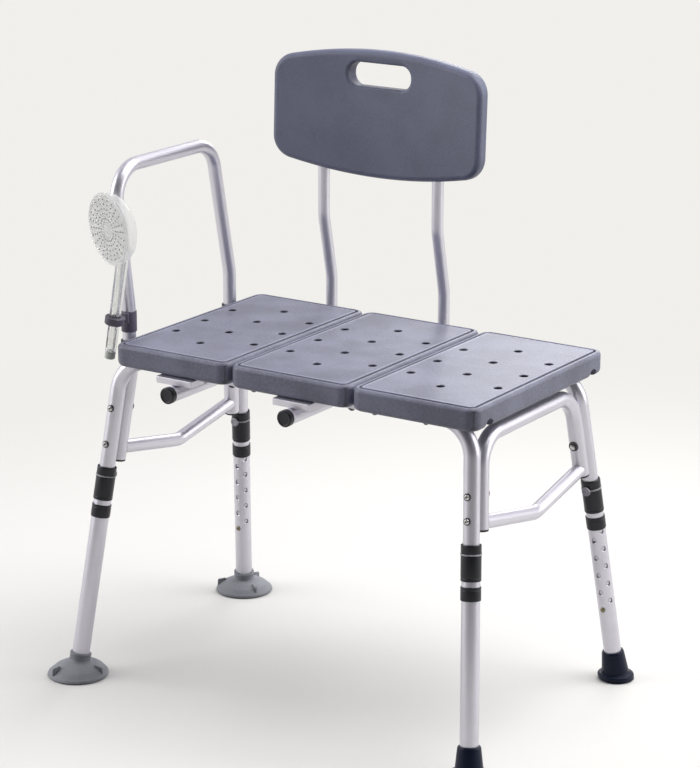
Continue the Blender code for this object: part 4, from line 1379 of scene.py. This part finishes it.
def bow_of(x):
    """How far the panel is pushed forward at a distance from its middle."""
    return back_bow * ((x / half_width) ** 2 - 1 / 3)


section = [(rim - rim * math.cos(turn), end * (half_thick - rim + rim * math.sin(turn)))
           for end, turns in ((-1, range(8, -1, -1)), (1, range(9)))
           for turn in (math.pi / 2 * step / 8 for step in turns)]
outline = set_in(outline[::-1], -0.0009)
plate = bmesh.new()
plate.from_mesh(ringed("back", [[(x, y, height) for x, y in set_in(outline, inset)]
                                for inset, height in section]))
for step in range(1, strips):
    bmesh.ops.bisect_plane(plate, geom=plate.verts[:] + plate.edges[:] + plate.faces[:],
                           plane_co=(half_width * (2 * step / strips - 1), 0, 0),
                           plane_no=(1, 0, 0), dist=0.00002)
for vert in plate.verts:
    vert.co.z += bow_of(vert.co.x)
plate = as_mesh("back", plate)
print("the bowed plate has", len(plate.polygons), "faces")

# %% Hand slot and bores
slot_width, slot_height, slot_corner, slot_flare = 0.1184, 0.0386, 0.0185, 0.0055
slot_y = back_middle / 2 - 0.0395


def slot_row(depth):
    """The slot's outline at a depth in the panel, wider near both faces."""
    inside = max(0.0, min(1.0, (half_thick - abs(depth)) / slot_flare))
    grow = 0.0050 * (1 - math.sqrt(max(0.0, 1 - (1 - inside) ** 2)))
    return [(x, y + slot_y, depth + bow_of(x)) for x, y in
            outline_of(slot_width + 2 * grow, slot_height + 2 * grow, slot_corner + grow, 12)]


def in_slot(spots):
    """Painted shade: more than 0 for the walls of the hand slot."""
    turn = np.array(back_place.inverted())
    x, y, z = (spots @ turn[:3, :3].T + turn[:3, 3]).T
    near = (abs(x) < 0.064) & (abs(y - slot_y) < 0.024)
    return np.clip((half_thick - 0.0015 - abs(z - bow_of(x))) / 0.003, 0, 0.6) * near


slot_tool = ringed("slot", [slot_row(depth) for depth in (
    -half_thick - 0.012, -half_thick, -half_thick + 0.0010, -half_thick + 0.0025,
    -half_thick + slot_flare, half_thick - slot_flare, half_thick - 0.0025, half_thick - 0.0010,
    half_thick, half_thick + 0.012)])
for mesh in (plate, slot_tool):
    mesh.transform(back_place)
bores = [straight((back_x + side * post_spacing / 2, post_y, 0.76),
                  (back_x + side * post_spacing / 2, post_y, 0.906), post_radius + fit_gap, 40)
         for side in (-1, 1)]
plate = carved(plate, [slot_tool] + bores)
# Painted shade on the walls of the hand slot.
mark(plate, "painted_shade", in_slot)
made = piece("back_plate", plate, "backrest", ["backrest_panel"], back_finish, 38, True)
print(made.name, len(made.data.polygons), "faces")

# %% [markdown]
# ## Backrest sockets
#
# Two open tubes hang under the bows and take the legs of the backrest, which pulls out to the rear.
# Each is plugged in front, and a pressed saddle fixes it to the panel. The plug has a shallow dish
# in its face, as moulded plugs have.

# %% Sockets, plugs and saddles
socket_front, socket_rear = -0.2178, 0.195
saddle_width, saddle_front, saddle_back = 0.068, -0.210, -bow_y - tube_radius - 0.0004
front = socket_front - fit_gap
socket_profile = [(tube_radius, socket_rear), (tube_radius, socket_front),
                  (post_radius + fit_gap, socket_front), (post_radius + fit_gap, socket_rear)]
plug_profile = [(0, -0.1998), (post_radius, -0.1998), (post_radius, front), (0.0133, front),
                (0.0133, front - 0.0026), (0.0129, front - 0.0030), (0.0129, front - 0.0036),
                (0.0133, front - 0.0040), (0.0133, front - 0.0082), (0.0117, front - 0.0097),
                (0.0098, front - 0.0097), (0.0092, front - 0.0090), (0, front - 0.0088)]
for name, side in (("left", -1), ("right", 1)):
    x = back_x + side * post_spacing / 2
    place = stood((x, 0, socket_height), (0, 1, 0))
    socket = turned("socket", socket_profile, place, 56, 0.0003)
    mark_drawn(socket, [(x, socket_front, socket_height), (x, socket_rear, socket_height)])
    piece("back_tube_" + name, socket, "frame", ["back_socket_" + name], tube_finish)
    piece("back_tube_cap_" + name, turned("plug", plug_profile, place, 56, 0.0004), "frame",
          ["socket_plug_" + name], black_finish)
    low, high = socket_height + tube_radius + fit_gap, seat_height - panel_thickness - fit_gap
    depth = saddle_back - saddle_front
    plate = slab("saddle", outline_of(saddle_width, depth, 0.003, 5), low, high, 0.0010, 3)
    plate.transform(Matrix.Translation((x, saddle_front + depth / 2, 0)))
    mark_drawn(plate, [(x - saddle_width / 2, saddle_front, low),
                       (x + saddle_width / 2, saddle_front, low)])
    piece("saddle_plate_" + name, plate, "frame", ["socket_saddle_" + name], tube_finish, 35, True)

# %% [markdown]
# ## Shower holder
#
# A clamp grips the front post of the armrest, and a ring tilts in front of it. The ring narrows
# downward, so the tapered handle of the hand shower wedges in by its own weight. Clamp and ring are
# turned shapes joined to a block and a neck with the Boolean modifier set to union.

# %% Clamp and ring
post_spot = Vector((arm_x, -arm_y, seat_height + 0.0215))
clamp_radius, clamp_half, neck_rise = arm_radius + 0.0016, 0.034 / 2, 0.0075
clamp = turned("clamp", [(clamp_radius - 0.0008, clamp_half), (clamp_radius, clamp_half - 0.0008),
                         (clamp_radius, 0.0008 - clamp_half), (clamp_radius - 0.0008, -clamp_half),
                         (arm_radius + fit_gap, -clamp_half), (arm_radius + fit_gap, clamp_half)],
               Matrix.Translation(post_spot), 64, 0.0004)
boss_half, boss_front, boss_back = 0.0085, 0.0175, arm_radius + 0.0008
boss = slab("boss", outline_of(2 * boss_half, boss_front - boss_back, 0.0028, 5),
            neck_rise - boss_half, neck_rise + boss_half, 0.0012, 3)
boss.transform(Matrix.Translation(post_spot + Vector((0.002, -(boss_front + boss_back) / 2, 0))))
piece("holder_clamp_body", carved(clamp, [boss], "UNION"), "frame", ["holder_clamp"], holder_finish,
      30)

grip = post_spot + Vector((0.0098, -0.0496, 0.0131))
lean_way = Vector((0.1822, 0, 1)).normalized()
head_turn = math.radians(250)
hand = stood(grip, lean_way, (math.cos(head_turn), math.sin(head_turn), 0))


def handle_radius(along):
    """The handle tapers down from the head to the nut."""
    return 0.0092 + 0.008 * along


ring_half = 0.006
ring = turned("ring", [(0.0147, ring_half), (0.0155, 0.0052), (0.0155, -0.0052), (0.0147, -ring_half),
                       (handle_radius(-ring_half) + fit_gap, -ring_half),
                       (handle_radius(ring_half) + fit_gap, ring_half)], hand, 64, 0.0005)
neck_start = post_spot + Vector((0.004, -boss_front - fit_gap, neck_rise))
neck = straight(neck_start, (neck_start.x, grip.y + 0.0125, neck_start.z), 0.0045, 32)
piece("holder_ring_body", carved(ring, [neck], "UNION"), "tilt_ring", ["holder_ring"],
      holder_finish, 30)

# %% [markdown]
# ## Hand shower
#
# The head is a deep dome with a flat spray face. Rows of small rubber nozzles stand on the face
# like the spokes of a wheel. A tree makes them: it sets a line of points along one spoke, copies
# the line round a circle, and puts a nozzle on every point.

# %% Nozzle tree
nozzle_tree = Tree("spoked_nozzles", {"Nozzle": "Object", "Spokes": "Int", "Per Spoke": "Int",
                                      "First": "Float", "Spacing": "Float"})
spoke = nozzle_tree.row(nozzle_tree["Per Spoke"], nozzle_tree.spot(x=nozzle_tree["First"]),
                        nozzle_tree.spot(x=nozzle_tree["Spacing"]))
spoke = nozzle_tree.copies(spoke, nozzle_tree.shape_of("Nozzle"))
hub = nozzle_tree.row(nozzle_tree["Spokes"], (0, 0, 0), (0, 0, 0))
share = nozzle_tree.math("DIVIDE", nozzle_tree.node("GeometryNodeInputIndex"), nozzle_tree["Spokes"])
wheel = nozzle_tree.copies(hub, spoke, Rotation=nozzle_tree.spot(z=share * (2 * math.pi)))
nozzle_tree.close(nozzle_tree.joined(wheel, nozzle_tree["Geometry"]))

# %% Head, spray face and nozzles
head_radius, head_depth, head_tilt = 0.0585, 0.035, math.radians(8.56)
head_place = hand @ stood((0.0350, 0, 0.1549), (math.cos(head_tilt), 0, -math.sin(head_tilt)),
                          (0, 0, 1))
rim, face_radius = head_radius - 0.0045, head_radius - 0.0048
dome = [(head_radius - 0.0012, 0), (head_radius, -0.002), (head_radius - 0.0008, -0.009),
        (head_radius - 0.004, -0.0165), (head_radius - 0.0095, -0.0235),
        (head_radius - 0.018, -0.0295), (head_radius - 0.030, -0.0335)]
head = turned("head", [(0, -0.0024), (rim, -0.0024), (rim, 0)] + dome + [(0, -head_depth)],
              head_place, 96, 0.0050)
piece("shower_dome", head, "hand_shower", ["shower_head"], head_clear, 50)
face = turned("face", [(0, 0.0008), (0.0100, 0.0008), (0.0108, 0.0002), (0.0122, 0.0002),
                       (0.0130, 0.0008), (0.0522, 0.0004), (face_radius, -0.0006),
                       (face_radius, -0.0021), (0, -0.0021)], head_place, 96, 0.0004)
piece("spray_face", face, "hand_shower", ["shower_face"], head_clear, 30)
nozzle = turned("nozzle", [(0, -0.0004), (0.0013, -0.0004), (0.0012, 0.0005), (0.0008, 0.0011),
                           (0, 0.0012)], Matrix.Translation((0, 0, 0.0005)), 12, 0.0001)
nozzle_thing = stand_in("nozzle", nozzle)
spokes, per_spoke = 24, 5
nozzles = grown("nozzles", bpy.data.meshes.new("nothing"), nozzle_tree,
                {"Nozzle": nozzle_thing, "Spokes": spokes, "Per Spoke": per_spoke,
                 "First": 0.0180, "Spacing": 0.0076, "Material": nozzle_finish})
bpy.data.objects.remove(nozzle_thing, do_unlink=True)
nozzles.transform(head_place)
piece("spray_nozzles", nozzles, "hand_shower", [], nozzle_finish, 40)
print("head: dome, face and", spokes * per_spoke, "nozzles")

# %% [markdown]
# ## Handle and nut
#
# The handle is a clear rod that bends a little and thins where it enters the head. It is a loft, cut
# to the round of the dome, and bored for the water. The nut at its lower end has 24 flat sides to
# grip, so its profile is spun in only 24 steps and their edges stay sharp.

# %% Handle and nut
handle_low = -0.058
rings = [(hand @ Vector((shift, 0, along)), lean_way, handle_radius(along) - thin)
         for along, shift, thin in
         ((handle_low + 0.0063, 0, 0), (-0.045, 0, 0), (-0.02, 0, 0), (0.04, 0, 0), (0.075, 0, 0),
          (0.09, 0, 0), (0.098, 0.0004, 0), (0.108, 0.0015, 0), (0.116, 0.0033, 0.0004),
          (0.124, 0.0055, 0.001), (0.131, 0.0079, 0.0019), (0.138, 0.0105, 0.003),
          (0.148, 0.0145, 0.006))]
swollen = turned("swollen", [(0, 0.004), (rim + 0.0005, 0.004)]
                 + [(radius + fit_gap, height - fit_gap) for radius, height in dome]
                 + [(0, -head_depth - fit_gap)], head_place, 72, 0.0050)
water_way = straight(hand @ Vector((0, 0, handle_low + 0.004)), hand @ Vector((0, 0, 0.100)),
                     0.0042, 28)
handle = carved(lofted("handle", rings, 56), [swollen, water_way])
piece("shower_grip", handle, "hand_shower", ["shower_handle"], handle_clear, 40)
nut_radius = 0.0084
nut = turned("nut", [(0, handle_low + 0.006), (0.0082, handle_low + 0.006),
                     (nut_radius, handle_low + 0.002), (nut_radius, handle_low - 0.006),
                     (0.0072, handle_low - 0.007), (0.0050, handle_low - 0.007),
                     (0.0046, handle_low - 0.003), (0, handle_low - 0.003)], hand, 24, 0.0003)
piece("hose_nut", nut, "hand_shower", ["shower_nut"], nut_finish, 14)
print("handle and nut:", len(handle.polygons), "and", len(nut.polygons), "faces")

# %% [markdown]
# ## Bolts, nuts and washers
#
# Every pair of tubes is held by cross bolts: a bright button head on a black washer on the outside,
# and a nut on a wider washer on the inside. The panels are bolted through the bows from below. All
# of them are the same few shapes in many places, so a tree sets them. It gets a mesh of loose
# points, each of which stores the direction in which its bolt faces, and it turns the copy on each
# point to that direction.

# %% Fastener tree
fastener_tree = Tree("set_fasteners", {"Fastener": "Object", "Scale": "Float"})
facing = fastener_tree.node("GeometryNodeInputNamedAttribute", {"data_type": "FLOAT_VECTOR"},
                            {"Name": "facing"})
turned_to = fastener_tree.node("FunctionNodeAlignRotationToVector", {"axis": "Z"},
                               {"Vector": facing})
scale = fastener_tree["Scale"]
placed = fastener_tree.copies(fastener_tree["Geometry"], fastener_tree.shape_of("Fastener"),
                              Rotation=turned_to, Scale=fastener_tree.spot(scale, scale, scale))
fastener_tree.close(placed)

# %% Where the fasteners sit
def facing_points(name, spots):
    """A mesh of loose points from (place, direction) pairs, with the direction stored on each."""
    mesh = bpy.data.meshes.new(name)
    mesh.from_pydata([tuple(place) for place, facing in spots], [], [])
    store(mesh, "facing", np.array([tuple(facing) for place, facing in spots]))
    return mesh


heads, tails, under = [], [], []
for side, heights in ((1, (0.4225, 0.3866)), (-1, (0.4477, 0.3889))):
    for end in (-1, 1):
        for height in heights:
            out = outward(side, end)
            middle = leg_spot(side, end, height - tube_radius * out.z)
            heads.append((middle + out * tube_radius, out))
            if height == heights[0]:
                tails.append((middle - out * (3 * tube_radius + fit_gap), -out))
for end in (-1, 1):
    for x in (-0.1891, -0.0986, -0.0575, 0.1235, 0.1646, 0.2551):
        under.append((Vector((x, end * bow_y, bow_height - tube_radius)), Vector((0, 0, -1))))
print(len(heads), "bolt heads,", len(tails), "nuts and", len(under), "panel screws")

# %% Fastener shapes
def washer(radius):
    """A dished washer, which sits a little into the round of the tube."""
    return turned("washer", [(0, -0.0012), (radius, -0.0012), (radius, 0.0008),
                             (0.75 * radius, 0.0012), (0, 0.0012)], None, 40, 0.0003)


def socket_head():
    """A button head with a hexagonal socket."""
    head = turned("head", [(0, 0.0011), (0.0042, 0.0011), (0.0042, 0.0020), (0.0029, 0.0036),
                           (0, 0.0036)], None, 40, 0.0009)
    hexagon = turned("hexagon", [(0, 0.0014), (0.0018, 0.0014), (0.0018, 0.006), (0, 0.006)],
                     None, 6, 0.00001)
    return carved(head, [hexagon])


def closed_nut():
    """A hexagonal nut with a rounded crown and the bolt's end."""
    nut = turned("nut", [(0, 0.0011), (0.0046, 0.0011), (0.0046, 0.0040), (0.0038, 0.0048),
                         (0, 0.0048)], None, 6, 0.0001)
    stud = turned("stud", [(0, 0.004), (0.0024, 0.004), (0.0024, 0.0060), (0, 0.0060)], None, 28,
                  0.0004)
    return carved(nut, [stud], "UNION")


def pan_screw():
    """A pan head with a cross recess."""
    flange = turned("flange", [(0, -0.0006), (0.0058, -0.0006), (0.0058, 0.0005), (0, 0.0005)],
                    None, 36, 0.0002)
    head = turned("head", [(0, 0.0004), (0.0042, 0.0004), (0.0042, 0.0018), (0.0028, 0.0032),
                           (0, 0.0034)], None, 36, 0.0008)
    cross = [slab("cross", [(-a, -b), (a, -b), (a, b), (-a, b)], 0.0020, 0.006)
             for a, b in ((0.0024, 0.0005), (0.0005, 0.0024))]
    return carved(carved(flange, [head], "UNION"), cross)


print("a pan screw has", len(pan_screw().polygons), "faces")

# %% Set the fasteners
for name, shape, spots, surface in (("leg_bolt_heads", socket_head(), heads, bolt_finish),
                                    ("leg_bolt_washers", washer(0.0060), heads, dark_bolt_finish),
                                    ("leg_bolt_nuts", closed_nut(), tails, bolt_finish),
                                    ("leg_nut_washers", washer(0.0081), tails, dark_bolt_finish),
                                    ("panel_screws", pan_screw(), under, dark_bolt_finish)):
    shape_thing = stand_in(name + "_shape", shape)
    set_out = grown(name, facing_points(name, spots), fastener_tree,
                    {"Fastener": shape_thing, "Scale": 1.0, "Material": surface})
    bpy.data.objects.remove(shape_thing, do_unlink=True)
    made = piece(name, set_out, "frame", [], surface, 30)
    print(made.name, len(made.data.polygons), "faces")

# %% [markdown]
# ## Closing
#
# The last cell measures the box round the dressed bench and counts its triangles.

# %% Size and triangle count
low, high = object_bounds()
triangles = sum(len(face.vertices) - 2 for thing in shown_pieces() if thing.type == "MESH"
                for face in thing.data.polygons)
print("visual size in mm:", [round(1000 * (b - a), 1) for a, b in zip(low, high)],
      "triangles:", triangles)
